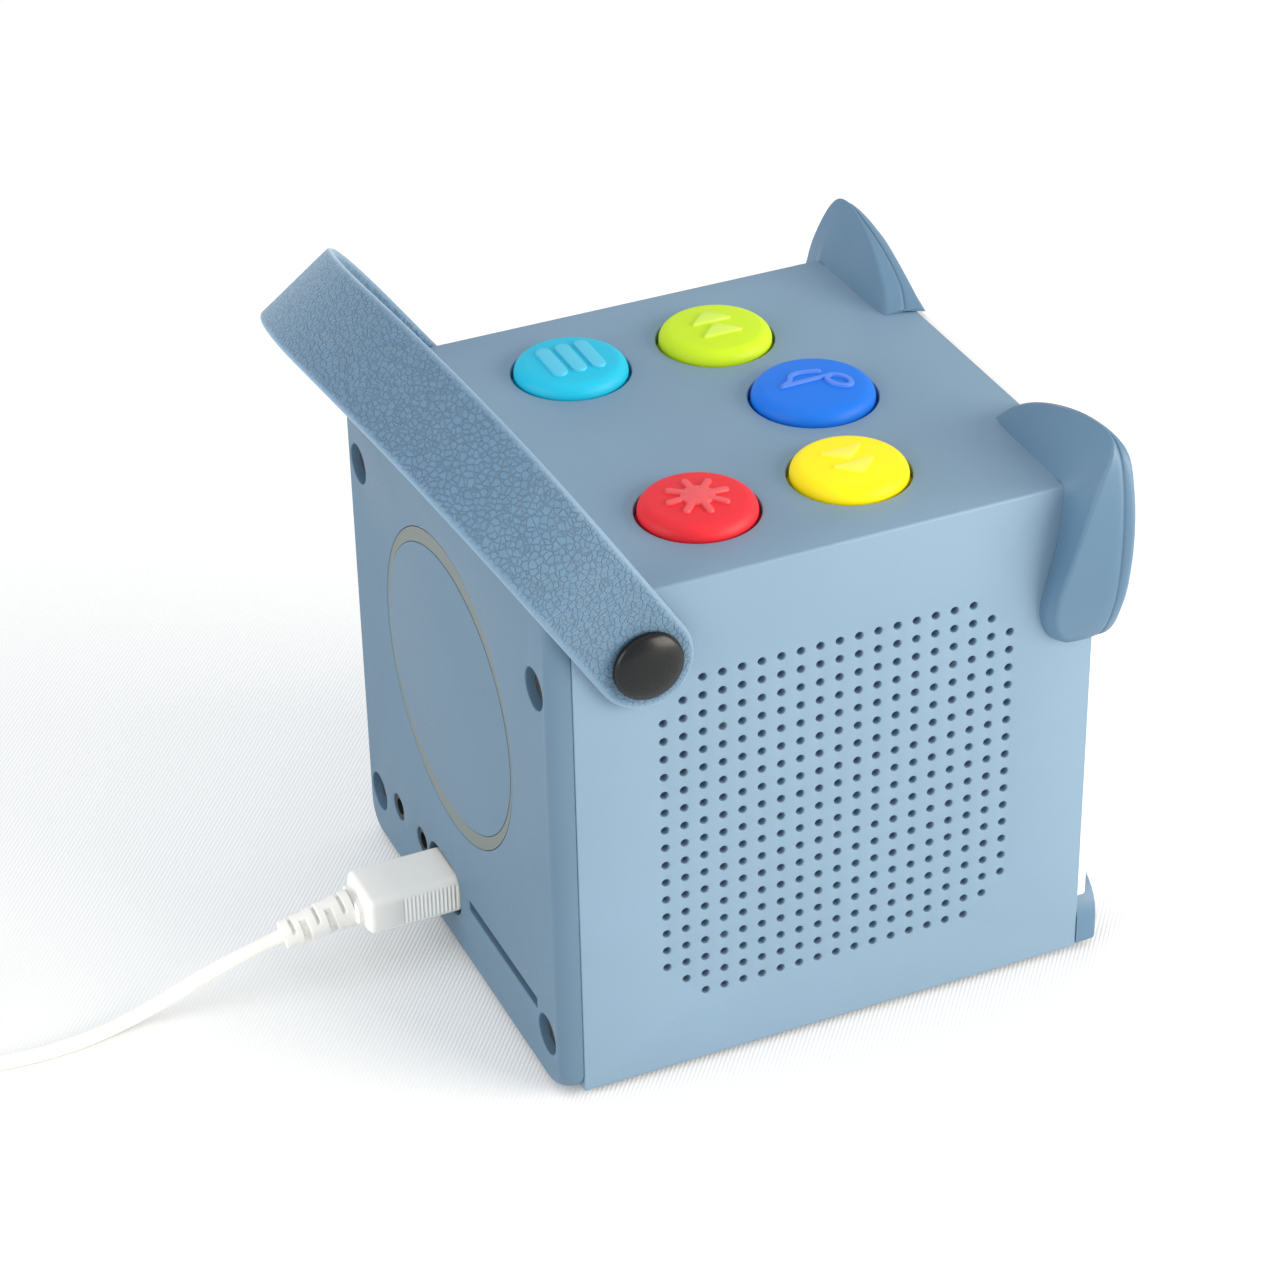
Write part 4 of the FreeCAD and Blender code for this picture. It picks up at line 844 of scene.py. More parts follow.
# Sections from the inner end over the tip to the lower end, for the +X side, in millimetres.
# Each has its foot on the shell, a point of the hollow rear face, the ridge, the parting line,
# the widest line and the front rim.
EAR_SECTIONS = [
    ((23.4, -50.0, 111.9), (23.4, -50.2, 112.1), (23.6, -50.8, 112.5), (22.8, -54.4, 113.0),
     (21.9, -57.6, 112.8), (21.7, -58.6, 111.9)),
    ((27.0, -49.6, 111.9), (27.2, -50.2, 113.4), (27.4, -51.8, 116.2), (27.0, -55.6, 116.0),
     (26.8, -58.0, 115.2), (27.4, -58.8, 113.8)),
    ((33.5, -49.3, 111.9), (34.0, -50.6, 115.0), (34.6, -53.2, 120.1), (34.8, -56.2, 119.4),
     (34.9, -58.2, 118.4), (35.2, -59.2, 116.8)),
    ((41.0, -49.2, 111.9), (42.0, -51.2, 115.8), (44.0, -55.0, 122.4), (44.4, -56.4, 122.2),
     (44.4, -58.4, 121.0), (43.4, -59.8, 118.8)),
    ((47.0, -49.1, 111.9), (49.5, -51.2, 116.0), (53.0, -56.2, 123.5), (53.6, -57.0, 122.8),
     (53.4, -58.8, 121.4), (50.8, -60.3, 118.4)),
    ((51.6, -49.0, 111.8), (54.2, -51.2, 114.6), (58.2, -55.4, 121.2), (58.4, -57.0, 120.2),
     (58.5, -59.0, 119.4), (55.6, -60.6, 116.8)),
    ((51.9, -48.7, 107.4), (55.0, -49.6, 110.4), (59.6, -51.8, 113.6), (60.6, -57.0, 113.4),
     (60.9, -59.0, 113.2), (57.6, -60.8, 111.8)),
    ((51.9, -48.2, 101.0), (55.0, -48.4, 103.4), (59.4, -49.4, 105.8), (61.4, -57.0, 105.6),
     (61.9, -59.0, 105.6), (58.6, -60.9, 105.0)),
    ((51.9, -47.0, 95.4), (54.8, -47.0, 96.8), (58.6, -47.6, 98.2), (61.3, -57.0, 98.2),
     (61.7, -59.0, 98.0), (58.2, -60.9, 97.8)),
    ((51.9, -45.4, 89.0), (54.2, -45.4, 89.8), (57.0, -46.4, 90.6), (60.3, -57.0, 90.6),
     (60.4, -59.0, 90.4), (57.0, -60.9, 90.6)),
    ((51.9, -45.0, 84.4), (53.6, -45.2, 84.4), (55.6, -46.8, 84.2), (58.2, -57.0, 84.0),
     (58.0, -59.0, 84.0), (55.0, -60.9, 84.8)),
    ((51.9, -46.8, 79.6), (52.8, -47.4, 79.4), (54.2, -49.2, 79.2), (55.8, -56.8, 79.4),
     (55.7, -58.9, 79.8), (53.8, -60.9, 81.2)),
    ((51.9, -50.6, 76.6), (52.1, -51.6, 76.5), (52.6, -53.0, 76.7), (53.2, -56.6, 77.0),
     (53.2, -58.8, 77.6), (52.6, -60.9, 79.4)),
]
EAR_LIP = 0.6 * MM
# In millimetres: where the soft ridge begins and ends, half the crease's width and its depth,
# which goes towards the ear's core.
RIDGE_BACK, RIDGE_FRONT = 1.8, 1.6
CREASE_HALF, CREASE_DEPTH = 0.4, 0.55
EAR_CORE = (46.0, -57.0, 100.0)


def towards(start, end, distance):
    """Points on the way from start to end, a distance along it but not past its first half."""
    way = end - start
    length = np.linalg.norm(way, axis=1, keepdims=True)
    return start + way / length * np.minimum(distance, 0.45 * length)


def ear_grid(side, along=72, across=72):
    """Ear skin: the sections joined by smooth curves along the ear, each section rounded over
    its ridge, with a fine crease at the parting line."""
    foot, hollow, ridge, parting, widest, rim = np.array(EAR_SECTIONS, float).transpose(1, 0, 2)
    rounded = np.stack([
        foot, hollow, towards(ridge, hollow, RIDGE_BACK), ridge, towards(ridge, parting, RIDGE_FRONT),
        (ridge + parting) / 2, towards(parting, ridge, CREASE_HALF),
        towards(parting, np.array(EAR_CORE), CREASE_DEPTH), towards(parting, widest, CREASE_HALF),
        widest, (widest + rim) / 2, rim], 1)
    skin = eased(np.swapaxes(through(rounded, along), 0, 1), across, 2)
    return np.swapaxes(skin, 0, 1) * MM * (side, 1, 1)


class STORY_OT_ears(bpy.types.Operator):
    """Build the two wrap-around ears"""
    bl_idname = "story_player.ears"
    bl_label = "Ears"

    def execute(self, context):
        plastic = moulded("ear plastic", settings().ear_colour, roughness=0.48, grain=0.00003)
        for name, side in SIDES.items():
            skin = ear_grid(side)
            ear = Patches()
            ear.grid(skin)
            rim, foot = skin[:, -1], skin[:, 0]
            front = np.stack([foot[:, 0], rim[:, 1] + EAR_LIP, foot[:, 2]], -1)
            ear.grid(np.stack([rim, front, foot]))
            for end in (0, -1):
                ear.fan(np.concatenate([skin[end], front[end][None]]))
            finish_piece(ear.build(f"{name}_ear_shape", 50), plastic, "housing",
                         [f"{name}_ear"])
        return {"FINISHED"}


# ---------------------------------------------------------------- buttons

CAP_RISE = 3.0 * MM
CAP_DOME = 0.6 * MM
CAP_SHOULDER = 2.4 * MM
FLANGE_TOP = -2.7 * MM
FLANGE_THICKNESS = 1.3 * MM


def crown(distance, radius):
    """Height of a cap's top at a distance from its middle: a flat dome, then a round shoulder."""
    dome = CAP_RISE - CAP_DOME * (distance / radius) ** 2
    over = np.clip((distance - (radius - CAP_SHOULDER)) / CAP_SHOULDER, 0, 1)
    return dome - CAP_SHOULDER * (1 - np.sqrt(1 - over ** 2))


def cap_profile(radius):
    """(radius, height) pairs of a cap: crown, round shoulder, upright side, flange, underside."""
    flat = np.linspace(0.0, 1.0, 9) * (radius - CAP_SHOULDER)
    turn = np.linspace(0, math.pi / 2, 11)[1:]
    distance = np.concatenate([flat, radius - CAP_SHOULDER + CAP_SHOULDER * np.sin(turn)])
    under = FLANGE_TOP - FLANGE_THICKNESS
    lower = [(radius, FLANGE_TOP), (radius + CAP_FLANGE, FLANGE_TOP), (radius + CAP_FLANGE, under),
             (0.0, under)]
    return np.concatenate([np.stack([distance, crown(distance, radius)], -1), lower])


SIGN_LINE = 0.9
SIGN_SLOPE = 0.14 * MM
SIGN_ROOT = 0.15 * MM


def stroke(line, width, steps=8):
    """Outline of a round-ended stroke along a line of points."""
    line = np.asarray(line, float)
    along = np.gradient(line, axis=0)
    along /= np.linalg.norm(along, axis=1, keepdims=True)
    side = np.stack([-along[:, 1], along[:, 0]], -1) * width / 2
    turn = np.linspace(-math.pi / 2, math.pi / 2, steps + 1)[1:-1, None]
    nose = line[-1] + np.cos(turn) * along[-1] * width / 2 + np.sin(turn) * side[-1]
    tail = line[0] - np.cos(turn) * along[0] * width / 2 - np.sin(turn) * side[0]
    return np.concatenate([line - side, nose, (line + side)[::-1], tail])


def soft_triangle(tip, base, half, radius=0.6, steps=5):
    """Outline of a triangle with rounded corners, pointing along X from base to tip."""
    corners = np.array([(tip, 0.0), (base, half), (base, -half)])
    if tip < base:
        corners = corners[::-1]
    loop = []
    for before, corner, after in zip(np.roll(corners, 1, 0), corners, np.roll(corners, -1, 0)):
        enter, leave = (corner + (end - corner) / np.linalg.norm(end - corner) * radius * 1.6
                        for end in (before, after))
        t = np.linspace(0, 1, steps)[:, None]
        loop.append(enter * (1 - t) ** 2 + 2 * corner * t * (1 - t) + leave * t ** 2)
    return np.concatenate(loop)


def sun_sign():
    """Disc with eight rays."""
    loops = [circle((0, 0), 3.2, 40)]
    for angle in np.arange(8) * math.pi / 4:
        way = np.array([math.cos(angle), math.sin(angle)])
        loops.append(stroke([way * 2.6, way * 5.7], 1.25))
    return loops


def note_sign():
    """Eighth note: a tilted open head, a stem along Y and a flag that curves back."""
    turn = np.radians(np.linspace(20, 340, 33))
    tilt = math.radians(28)
    along, across = np.cos(turn) * 2.7, np.sin(turn) * 1.8
    head = np.stack([along * math.cos(tilt) - across * math.sin(tilt),
                     along * math.sin(tilt) + across * math.cos(tilt)], -1)
    flag = eased([(0.9, 6.2), (1.4, 4.2), (4.2, 3.2), (4.6, 0.6), (3.4, -2.8)], 17, 2)
    stem = [(0.9, 6.2), (0.9, -3.9)]
    return [stroke(line, SIGN_LINE) for line in (head + (-1.5, -4.9), stem, flag)]


SIGNS = {
    "list": lambda: [stroke([(-4.3, y), (4.3, y)], 2.9) for y in (-4.1, 0.0, 4.1)],
    "light": sun_sign,
    "next": lambda: [soft_triangle(0.4, -4.0, 4.5), soft_triangle(5.8, 1.4, 4.5)],
    "previous": lambda: [soft_triangle(-0.4, 4.0, 4.5), soft_triangle(-5.8, -1.4, 4.5)],
    "music": note_sign,
}


def raised_sign(patches, loop, middle, radius, relief):
    """Sign on the crown: the outline's face stands proud of the dome by the relief, and its
    sloping side runs down into the dome."""
    outward = outward_of(loop)
    def at(flat, lift):
        """Points on the crown, lifted."""
        distance = np.linalg.norm(flat, axis=1)
        return np.column_stack([flat + middle, TOP + crown(distance, radius) + lift])
    foot, edge = loop + outward * SIGN_SLOPE, loop - outward * SIGN_SLOPE
    rows = [at(foot, -SIGN_ROOT), at(loop + outward * SIGN_SLOPE * 0.5, relief * 0.55),
            at(loop, relief * 0.92), at(edge, relief)]
    patches.skirt(*rows)
    patches.plate(edge, [], lambda flat: at(flat, relief))
    patches.plate(foot, [], lambda flat: at(flat, -SIGN_ROOT))


class STORY_OT_buttons(bpy.types.Operator):
    """Build the five button caps with their raised signs"""
    bl_idname = "story_player.buttons"
    bl_label = "Buttons"

    def execute(self, context):
        given = settings()
        for name, slot in CAP_SLOTS.items():
            middle, radius = cap_size(name)
            cap = Patches()
            cap.grid(turned_grid(cap_profile(radius), (*middle, TOP), (0, 0, 1), 72), wrap_v=True)
            colour = getattr(given, f"{name}_colour")
            rubber = moulded(f"{name} cap rubber", colour, grain=0.000012, soft=0.12, gloss=0.3)
            finish_piece(cap.build(f"{name}_cap", 30), rubber, f"{name}_key",
                         [f"{name}_button"])
            sign = Patches()
            for loop in SIGNS[name]():
                raised_sign(sign, loop * MM, np.array(middle), radius, given.icon_relief)
            # The sign's rubber is the cap's colour lightened a little: a painted highlight on the raised
            # signs' tops.
            sign_painted_highlight = moulded(f"{name} sign rubber", tuple(0.93 * part + 0.07 for part in colour),
                           roughness=0.45, grain=0.000012, gloss=0.4)
            finish_piece(sign.build(f"{name}_sign", 25), sign_painted_highlight, f"{name}_key")
        return {"FINISHED"}


# ---------------------------------------------------------------- strap

STRAP_WIDTH = (18.6 * MM, 19.4 * MM)
STRAP_THICKNESS = 2.2 * MM
STRAP_LEAN = math.radians(35.9)
STRAP_SKEW = math.radians(3.1)
STRAP_RISE = math.radians(2.8)
STRAP_HALF = 53.5 * MM
STRAP_LEG = 21.5 * MM
STRAP_SIDE_RADIUS = 36.0 * MM
STRAP_TURN = math.radians(54.3)
STRAP_STEPS = 61
STRAP_END_STEPS = 14
STRAP_TIP = 0.02 * MM
STRAP_ROUND = 0.9 * MM

PIN_SEAT = 55.0 * MM
PIN_BRIM = 0.7 * MM
PIN_DOME = 2.2 * MM
PIN_CHAMFER = 0.25 * MM
PIN_SHAFT = 2.5 * MM
PIN_REACH = 9.5 * MM


def strap_lean(x):
    """Lean of the soft strap at a place across the player: it hangs a little askew."""
    share = x / STRAP_HALF
    return STRAP_LEAN + STRAP_SKEW * share - STRAP_RISE * np.maximum(share, 0) ** 2


def strap_line(count):
    """Half of the arch from pin to middle: a straight leg, a shoulder arc and a wide top arc,
    which meet with the same direction. Gives places, outward directions and lengths."""
    top_radius = STRAP_SIDE_RADIUS + (STRAP_HALF - STRAP_SIDE_RADIUS) / math.cos(STRAP_TURN)
    shoulder = STRAP_SIDE_RADIUS * STRAP_TURN
    top_turn = math.pi / 2 - STRAP_TURN
    total = STRAP_LEG + shoulder + top_radius * top_turn
    s = np.linspace(0, total, count)
    a = np.clip((s - STRAP_LEG) / STRAP_SIDE_RADIUS, 0, STRAP_TURN)
    b = np.clip((s - STRAP_LEG - shoulder) / top_radius, 0, top_turn)
    centre_x = STRAP_HALF - STRAP_SIDE_RADIUS
    x = centre_x + STRAP_SIDE_RADIUS * np.cos(a)
    h = np.minimum(s, STRAP_LEG) + STRAP_SIDE_RADIUS * np.sin(a)
    x = x + top_radius * (np.cos(STRAP_TURN + b) - math.cos(STRAP_TURN))
    h = h + top_radius * (np.sin(STRAP_TURN + b) - math.sin(STRAP_TURN))
    angle = a + b
    return np.stack([x, h], -1), np.stack([np.cos(angle), np.sin(angle)], -1), s


class STORY_OT_strap(bpy.types.Operator):
    """Build the carrying strap and its two domed pins"""
    bl_idname = "story_player.strap"
    bl_label = "Strap and pins"

    def execute(self, context):
        place, outward, length = strap_line(STRAP_STEPS)
        place = np.concatenate([place, (place * (-1, 1))[-2::-1]])
        outward = np.concatenate([outward, (outward * (-1, 1))[-2::-1]])
        length = np.concatenate([length, 2 * length[-1] - length[-2::-1]])
        width = STRAP_WIDTH[0] + (STRAP_WIDTH[1] - STRAP_WIDTH[0]) * length / length[-1]
        turn = np.arange(1, STRAP_END_STEPS + 1) / STRAP_END_STEPS * math.pi / 2
        drop = width[0] / 2 * np.cos(turn)
        ends = [np.stack([np.full(len(drop), x), -drop], -1) for x in (STRAP_HALF, -STRAP_HALF)]
        facing = [np.tile((x, 0.0), (len(drop), 1)) for x in (1.0, -1.0)]
        narrow = [np.sqrt(np.maximum((whole / 2) ** 2 - drop ** 2, STRAP_TIP ** 2))
                  for whole in (width[0], width[-1])]
        strap = self.band(np.concatenate([ends[0], place, ends[1][::-1]]),
                          np.concatenate([facing[0], outward, facing[1]]),
                          np.concatenate([narrow[0], width / 2, narrow[1][::-1]]))
        material = crackled("strap leather", settings().strap_colour, settings().strap_line_colour,
                            srgb(108, 138, 163), settings().crackle_size)
        finish_piece(strap, material, "strap", ["handle_strap"])
        black = moulded("pin black", srgb(15, 18, 21), roughness=0.28, grain=0.000008, uneven=0.1,
                        gloss=0.3)
        for name, way in SIDES.items():
            low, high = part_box(f"{name}_handle_pin")
            head = (high[2] - low[2]) / 2
            dome = [(head * math.sin(a), PIN_BRIM + PIN_DOME * math.cos(a))
                    for a in np.linspace(0, math.pi / 2, 12)]
            profile = [*dome, (head, PIN_CHAMFER), (head - PIN_CHAMFER, 0.0),
                       (PIN_SHAFT, 0.0), (PIN_SHAFT, -PIN_REACH), (0.0, -PIN_REACH)]
            pin = Patches()
            pin.grid(turned_grid(profile, (PIN_SEAT * way, PIVOT[1], PIVOT[2]), (way, 0, 0), 56),
                     wrap_v=True)
            finish_piece(pin.build(f"{name}_pin_dome", 40), black, "housing",
                         [f"{name}_handle_pin"])
        return {"FINISHED"}

    def band(self, place, side, half):
        """Strap: a rounded flat section carried along the arch. At each place the section's
        width lies across the arch and its thickness along the outward direction."""
        turn = np.linspace(-math.pi / 2, math.pi / 2, 9)[:-1]
        across = np.linspace(-1, 1, 13)[:-1]
        thick = STRAP_THICKNESS / 2
        reach = half[:, None]
        flat = reach - np.minimum(STRAP_ROUND, reach * 0.9)
        bend = reach - flat
        w = np.hstack([flat * across, flat + bend * np.cos(turn),
                       -flat * across, -flat - bend * np.cos(turn)])
        t = np.concatenate([np.full(len(across), -thick), thick * np.sin(turn),
                            np.full(len(across), thick), -thick * np.sin(turn)])
        x = place[:, 0, None] + side[:, 0, None] * t
        h = place[:, 1, None] + side[:, 1, None] * t
        lean = strap_lean(x)
        y = PIVOT[1] + h * np.sin(lean) + w * np.cos(lean)
        z = PIVOT[2] + h * np.cos(lean) - w * np.sin(lean)
        points = np.stack([x, y, z], -1)
        band = Patches()
        band.grid(points, wrap_v=True)
        for row in (0, -1):
            band.fan(points[row])
        strap = band.build("carrying_strap", 40)
        self.mark_edges(strap, half)
        return strap

    def mark_edges(self, strap, half):
        """Store each vertex's distance from the nearest cut edge of the strap."""
        mesh = strap.data
        flat = np.empty(len(mesh.vertices) * 3)
        mesh.vertices.foreach_get("co", flat)
        points = flat.reshape(-1, 3)
        lean = strap_lean(points[:, 0])
        y, z = points[:, 1] - PIVOT[1], points[:, 2] - PIVOT[2]
        across = y * np.cos(lean) - z * np.sin(lean)
        along = y * np.sin(lean) + z * np.cos(lean)
        to_side = half.max() - np.abs(across)
        to_end = half.max() - np.hypot(across, np.minimum(along, 0))
        attribute = mesh.attributes.new("from_edge", "FLOAT", "POINT")
        attribute.data.foreach_set("value", np.where(along < 0, to_end, to_side).astype(np.float32))


# ---------------------------------------------------------------- charging lead

# Points of the cable from the strain relief to the coil, as in the part's route.
CABLE_ROUTE = [
    (8.0, 92.2, 11.55),
    (8.0, 104.5, 8.95),
    (8.0, 123.5, 1.5),
    (4.6, 139.0, 1.5),
    (5.4, 154.0, 1.5),
    (9.0, 171.0, 1.5),
    (9.0, 183.0, 1.5),
]
# From the coil's last point over its outer turns and down towards the tail.
CABLE_OVER = [(3.0, 0.6, 2.4), (6.5, 2.2, 3.2), (10.5, 4.6, 1.6)]
CABLE_RADIUS = 1.5 * MM
CABLE_LENGTH = 1.0
COIL_RADIUS = 16.8 * MM
COIL_LAYER = 3
COIL_CLIMB = 0.8
TAIL_ALLOWANCE = 0.02

GRIP_PAST_LOW = np.array((1.25, 2.2, 0.6)) * MM
GRIP_PAST_HIGH = np.array((1.25, 0.0, 0.1)) * MM
GRIP_CORNER = 1.7 * MM
GRIP_ROLLS = (0.9 * MM, 1.7 * MM)
GRIP_NECK = 1.6 * MM
GRIP_WAIST = 1.9 * MM
GRIP_RIBS = 14
GRIP_RIBBED = (1.2 * MM, 13.2 * MM)
GRIP_RIB_DEPTH = 0.11 * MM
GRIP_RIB_MARGIN = 1.6 * MM

RELIEF_RADIUS = 3.9 * MM
RELIEF_TAPER = 0.95 * MM
RELIEF_COLLAR = 0.5 * MM
RELIEF_SLOTS = np.array([2.0, 4.9, 7.6, 10.4, 12.9]) * MM
RELIEF_SLOT_DEPTH = 1.3 * MM
RELIEF_SLOT_HALF = (0.32 * MM, 0.75 * MM)
RELIEF_SLOT_FADE = 0.12 * MM
RELIEF_SLOT_END, RELIEF_SLOT_END_FADE = 0.42, 0.16


def coil_points(turns, per_turn=14):
    """Turns of the coil: the cable goes round at its three radii, a layer at a time, and climbs
    by a diameter at the end of each layer."""
    middle = (np.array(COIL_LOW) + np.array(COIL_HIGH)) / 2
    turn = np.arange(1, round(turns * per_turn) + 1) / per_turn
    layer = np.clip(np.floor(turn / COIL_LAYER), 0, 2)
    passed = np.clip(turn - layer * COIL_LAYER - 0.5, 0, 2)
    step = np.where(layer % 2 == 0, 1 - passed, passed - 1)
    radius = COIL_RADIUS + 2 * CABLE_RADIUS * step
    climbs = [np.clip(turn - COIL_LAYER * number + COIL_CLIMB / 2, 0, COIL_CLIMB) / COIL_CLIMB
              for number in (1, 2)]
    z = CABLE_RADIUS * (1 + 2 * sum(climbs))
    angle = math.pi - turn * 2 * math.pi
    return np.stack([middle[0] + radius * np.cos(angle), middle[1] + radius * np.sin(angle), z], -1)


class STORY_OT_lead(bpy.types.Operator):
    """Build the charging plug, its strain relief and the cable, and give the far plug its materials"""
    bl_idname = "story_player.lead"
    bl_label = "Charging lead"

    def execute(self, context):
        colour = settings().lead_colour
        sheath = moulded("cable sheath", colour, roughness=0.4, grain=0.000006, soft=0.1)
        plastic = moulded("plug plastic", colour, roughness=0.42, grain=0.00001, soft=0.1)
        steel = metal("plug steel", (0.62, 0.62, 0.63))
        on_it = [self.grip(plastic), self.relief(sheath)]
        for node, material in (("usb_a_grip", plastic), ("usb_a_shell", steel), ("plug_tongue", steel)):
            piece = bpy.data.objects[frame["nodes"][node].name]
            piece.material_slots[0].material = material
            on_it.append(piece)
        self.cable(sheath, on_it)
        return {"FINISHED"}

    def grip(self, material):
        """Grip: a rounded box that reaches into the opening, with a rounded neck and fine ribs on
        both narrow sides."""
        low, high = np.array(GRIP_LOW) - GRIP_PAST_LOW, np.array(GRIP_HIGH) + GRIP_PAST_HIGH
        neck = high[1] - GRIP_NECK
        ribbed = low[1] + np.linspace(*GRIP_RIBBED, GRIP_RIBS * 6 + 1)
        (sink, drop), (neck_sink, neck_drop) = (quarter_roll(roll, 5) for roll in GRIP_ROLLS)
        stations = [*zip(low[1] + sink[::-1], drop[::-1]), *((y, 0.0) for y in ribbed),
                    *zip(neck - neck_sink, neck_drop), (neck + 0.1 * MM, GRIP_WAIST),
                    (high[1] - 0.4 * MM, GRIP_WAIST), (high[1], GRIP_WAIST + 0.4 * MM)]
        rows = section_loops(stations, low[[0, 2]], high[[0, 2]], GRIP_CORNER)
        middle = (low + high) / 2
        phase = np.clip((rows[..., 1] - ribbed[0]) / (ribbed[-1] - ribbed[0]), 0, 1) * GRIP_RIBS
        at_side = np.abs(rows[..., 2] - middle[2]) < (high[2] - low[2]) / 2 - GRIP_RIB_MARGIN
        rows[..., 0] -= (np.sign(rows[..., 0] - middle[0]) * at_side * GRIP_RIB_DEPTH
                         * (1 - np.cos(2 * math.pi * phase)))
        body = Patches()
        body.grid(rows, wrap_v=True)
        for row in (rows[0], rows[-1]):
            body.plate(row[:, [0, 2]], [], on_plane(1, row[0, 1]))
        return finish_piece(body.build("charging_plug_grip", 40), material, "housing",
                            ["plug_grip"])

    def relief(self, material):
        """Strain relief: a tapered sleeve with slots by turns in its sides and in its top and
        bottom, tilted down towards the floor, with a collar at its end."""
        start = np.array([(GRIP_LOW[0] + GRIP_HIGH[0]) / 2, GRIP_HIGH[1] - 0.2 * MM,
                          (GRIP_LOW[2] + GRIP_HIGH[2]) / 2 - 0.6 * MM])
        end = np.array(CABLE_ROUTE[0]) * MM + (0, 0.2 * MM, 0)
        length = np.linalg.norm(end - start)
        along = np.linspace(0, length, 121)[:, None]
        angle = np.arange(56) * 2 * math.pi / 56
        radius = RELIEF_RADIUS - RELIEF_TAPER * along / length
        for number, place in enumerate(RELIEF_SLOTS):
            on_sides = number % 2 == 1
            half = RELIEF_SLOT_HALF[on_sides]
            facing = np.abs(np.cos(angle) if on_sides else np.sin(angle))
            depth = np.clip((half + RELIEF_SLOT_FADE - np.abs(along - place)) / (2 * RELIEF_SLOT_FADE), 0, 1)
            window = np.clip((facing - RELIEF_SLOT_END) / RELIEF_SLOT_END_FADE, 0, 1)
            radius = radius - RELIEF_SLOT_DEPTH * depth * window
        radius = np.broadcast_to(radius, (len(along), len(angle))).copy()
        radius[-1] -= RELIEF_COLLAR
        local = np.stack([radius * np.cos(angle), radius * np.sin(angle),
                          np.broadcast_to(along, radius.shape)], -1)
        tips = [np.broadcast_to((0.0, 0.0, z), local[:1].shape) for z in (0.0, length)]
        local = np.concatenate([tips[0], local, tips[1]])
        way = (end - start) / length
        side = np.array((1.0, 0.0, 0.0))
        spin = np.stack([side, np.cross(way, side), way])
        body = Patches()
        body.grid(local @ spin + start, wrap_v=True)
        return finish_piece(body.build("plug_strain_relief", 35), material, "housing",
                            ["strain_relief"])

    def cable(self, material, on_it):
        """Cable: a smooth curve by the route's points, then the coil and the straight tail."""
        route = np.array(CABLE_ROUTE) * MM
        free = np.linalg.norm(np.diff(route, axis=0), axis=1).sum()
        tail_y, tail_z = (np.array(TAIL_LOW[1:]) + TAIL_HIGH[1:]) / 2
        tail = [(TAIL_HIGH[0] + shift * MM, tail_y, tail_z) for shift in (-4, 1)]
        turns = (CABLE_LENGTH - free - TAIL_ALLOWANCE) / (2 * math.pi * COIL_RADIUS)
        coil = coil_points(math.floor(turns) + 0.25)
        points = np.concatenate([route, coil, coil[-1] + np.array(CABLE_OVER) * MM, tail])
        data = bpy.data.curves.new("charging_cable", "CURVE")
        data.dimensions = "3D"
        data.bevel_depth = CABLE_RADIUS
        data.bevel_resolution = 6
        data.resolution_u = 6
        data.use_fill_caps = True
        spline = data.splines.new("NURBS")
        spline.points.add(len(points) - 1)
        spline.points.foreach_set("co", np.column_stack([points, np.ones(len(points))]).ravel())
        spline.order_u = 3
        spline.use_endpoint_u = True
        piece = bpy.data.objects.new("charging_cable", data)
        bpy.context.scene.collection.objects.link(piece)
        finish_piece(piece, material, "housing",
                     ["usb_cable", "cable_coil", "usb_cable_tail"])


# ---------------------------------------------------------------- inside

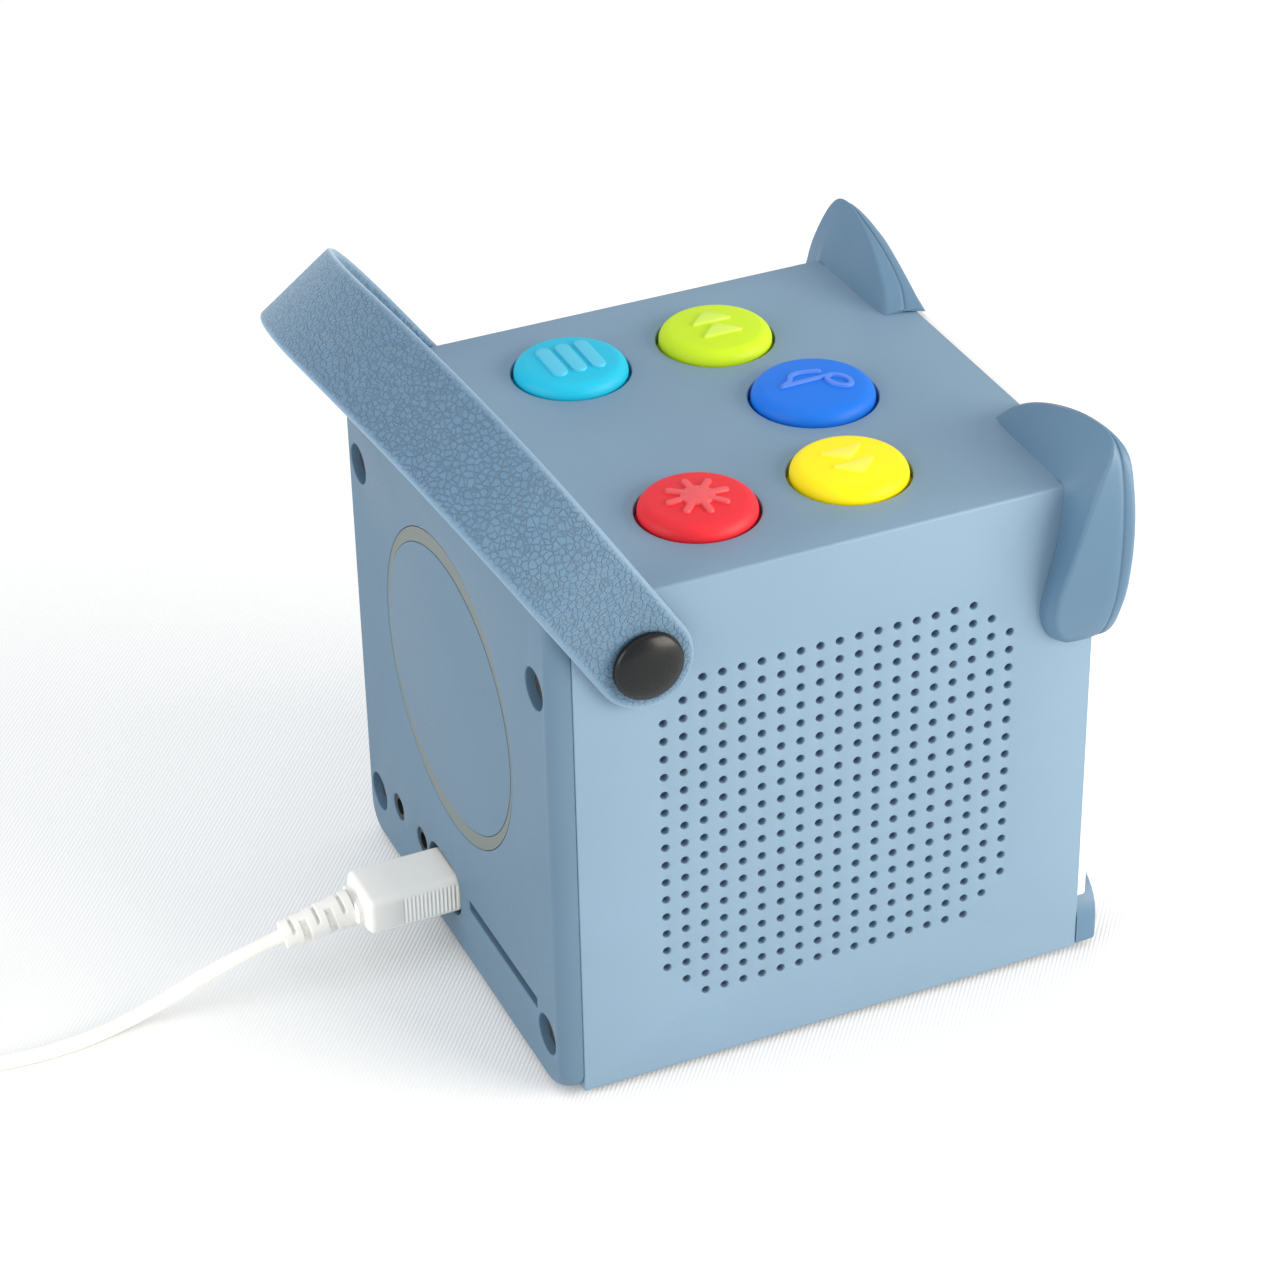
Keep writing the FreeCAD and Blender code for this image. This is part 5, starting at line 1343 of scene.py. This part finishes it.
class STORY_OT_inside(bpy.types.Operator):
    """Give the frame's own inner pieces their materials"""
    bl_idname = "story_player.inside"
    bl_label = "Inner pieces"

    def execute(self, context):
        black = srgb(24, 25, 27)
        finishes = {
            "steel": metal("plain steel", (0.56, 0.56, 0.57)),
            "rubber_grey": moulded("foot rubber", srgb(95, 100, 106), roughness=0.8),
            "dome_clear": moulded("dome silicone", srgb(205, 208, 210), roughness=0.4, soft=0.4),
            "board_green": circuit("circuit board", srgb(30, 92, 50), srgb(60, 128, 70)),
            "foam_black": moulded("foam", black, roughness=0.95, grain=0.0002, fineness=1400.0),
            "cone_black": moulded("cone paper", black, roughness=0.85, grain=0.0001, fineness=900.0),
            "magnet_grey": moulded("ferrite", srgb(70, 70, 74), roughness=0.5),
            "copper": metal("copper wire", (0.72, 0.35, 0.16), stretch=(9000.0, 60.0, 60.0)),
            "led_white": moulded("led lens", srgb(245, 236, 190), roughness=0.25),
            "chip_black": moulded("chip black", black, roughness=0.5),
            "capacitor_grey": metal("capacitor can", (0.4, 0.4, 0.42)),
            "battery_blue": moulded("battery sleeve", srgb(40, 92, 160), roughness=0.3),
        }
        shown = {item["node"]: item["material_slot"] for item in frame["record"]["subparts"]}
        for node, slot in shown.items():
            # The cover's screws take the chips' black instead of steel: painted shade that keeps the screw
            # recesses dark. The two sockets take the same black.
            if node in ("rear_cover_screws", "card_socket", "usb_socket"):
                slot = "chip_black"
            if slot in finishes:
                frame["nodes"][node].material_slots[0].material = finishes[slot]
        return {"FINISHED"}


# ---------------------------------------------------------------- panel and registration

OPERATORS = (STORY_OT_stage, STORY_OT_shell, STORY_OT_rear, STORY_OT_front, STORY_OT_ears,
             STORY_OT_buttons, STORY_OT_strap, STORY_OT_lead, STORY_OT_inside)


class STORY_PT_panel(bpy.types.Panel):
    """Buttons for each group of pieces"""
    bl_idname = "STORY_PT_panel"
    bl_label = "Story player"
    bl_space_type = "VIEW_3D"
    bl_region_type = "UI"
    bl_category = "Story player"

    def draw(self, context):
        for name in StoryPlayerSettings.__annotations__:
            self.layout.prop(settings(), name)
        for kind in OPERATORS:
            self.layout.operator(kind.bl_idname)


CLASSES = (StoryPlayerSettings, *OPERATORS, STORY_PT_panel)


def register():
    """Register the classes and the settings."""
    for kind in CLASSES:
        bpy.utils.register_class(kind)
    bpy.types.Scene.story_player = PointerProperty(type=StoryPlayerSettings)


def unregister():
    """Take the settings and the classes out again."""
    del bpy.types.Scene.story_player
    for kind in reversed(CLASSES):
        bpy.utils.unregister_class(kind)


def main():
    """Register the add-on's classes, then build every group of pieces."""
    register()
    for kind in OPERATORS:
        group, call = kind.bl_idname.split(".")
        getattr(getattr(bpy.ops, group), call)()


if __name__ == "__main__":
    main()
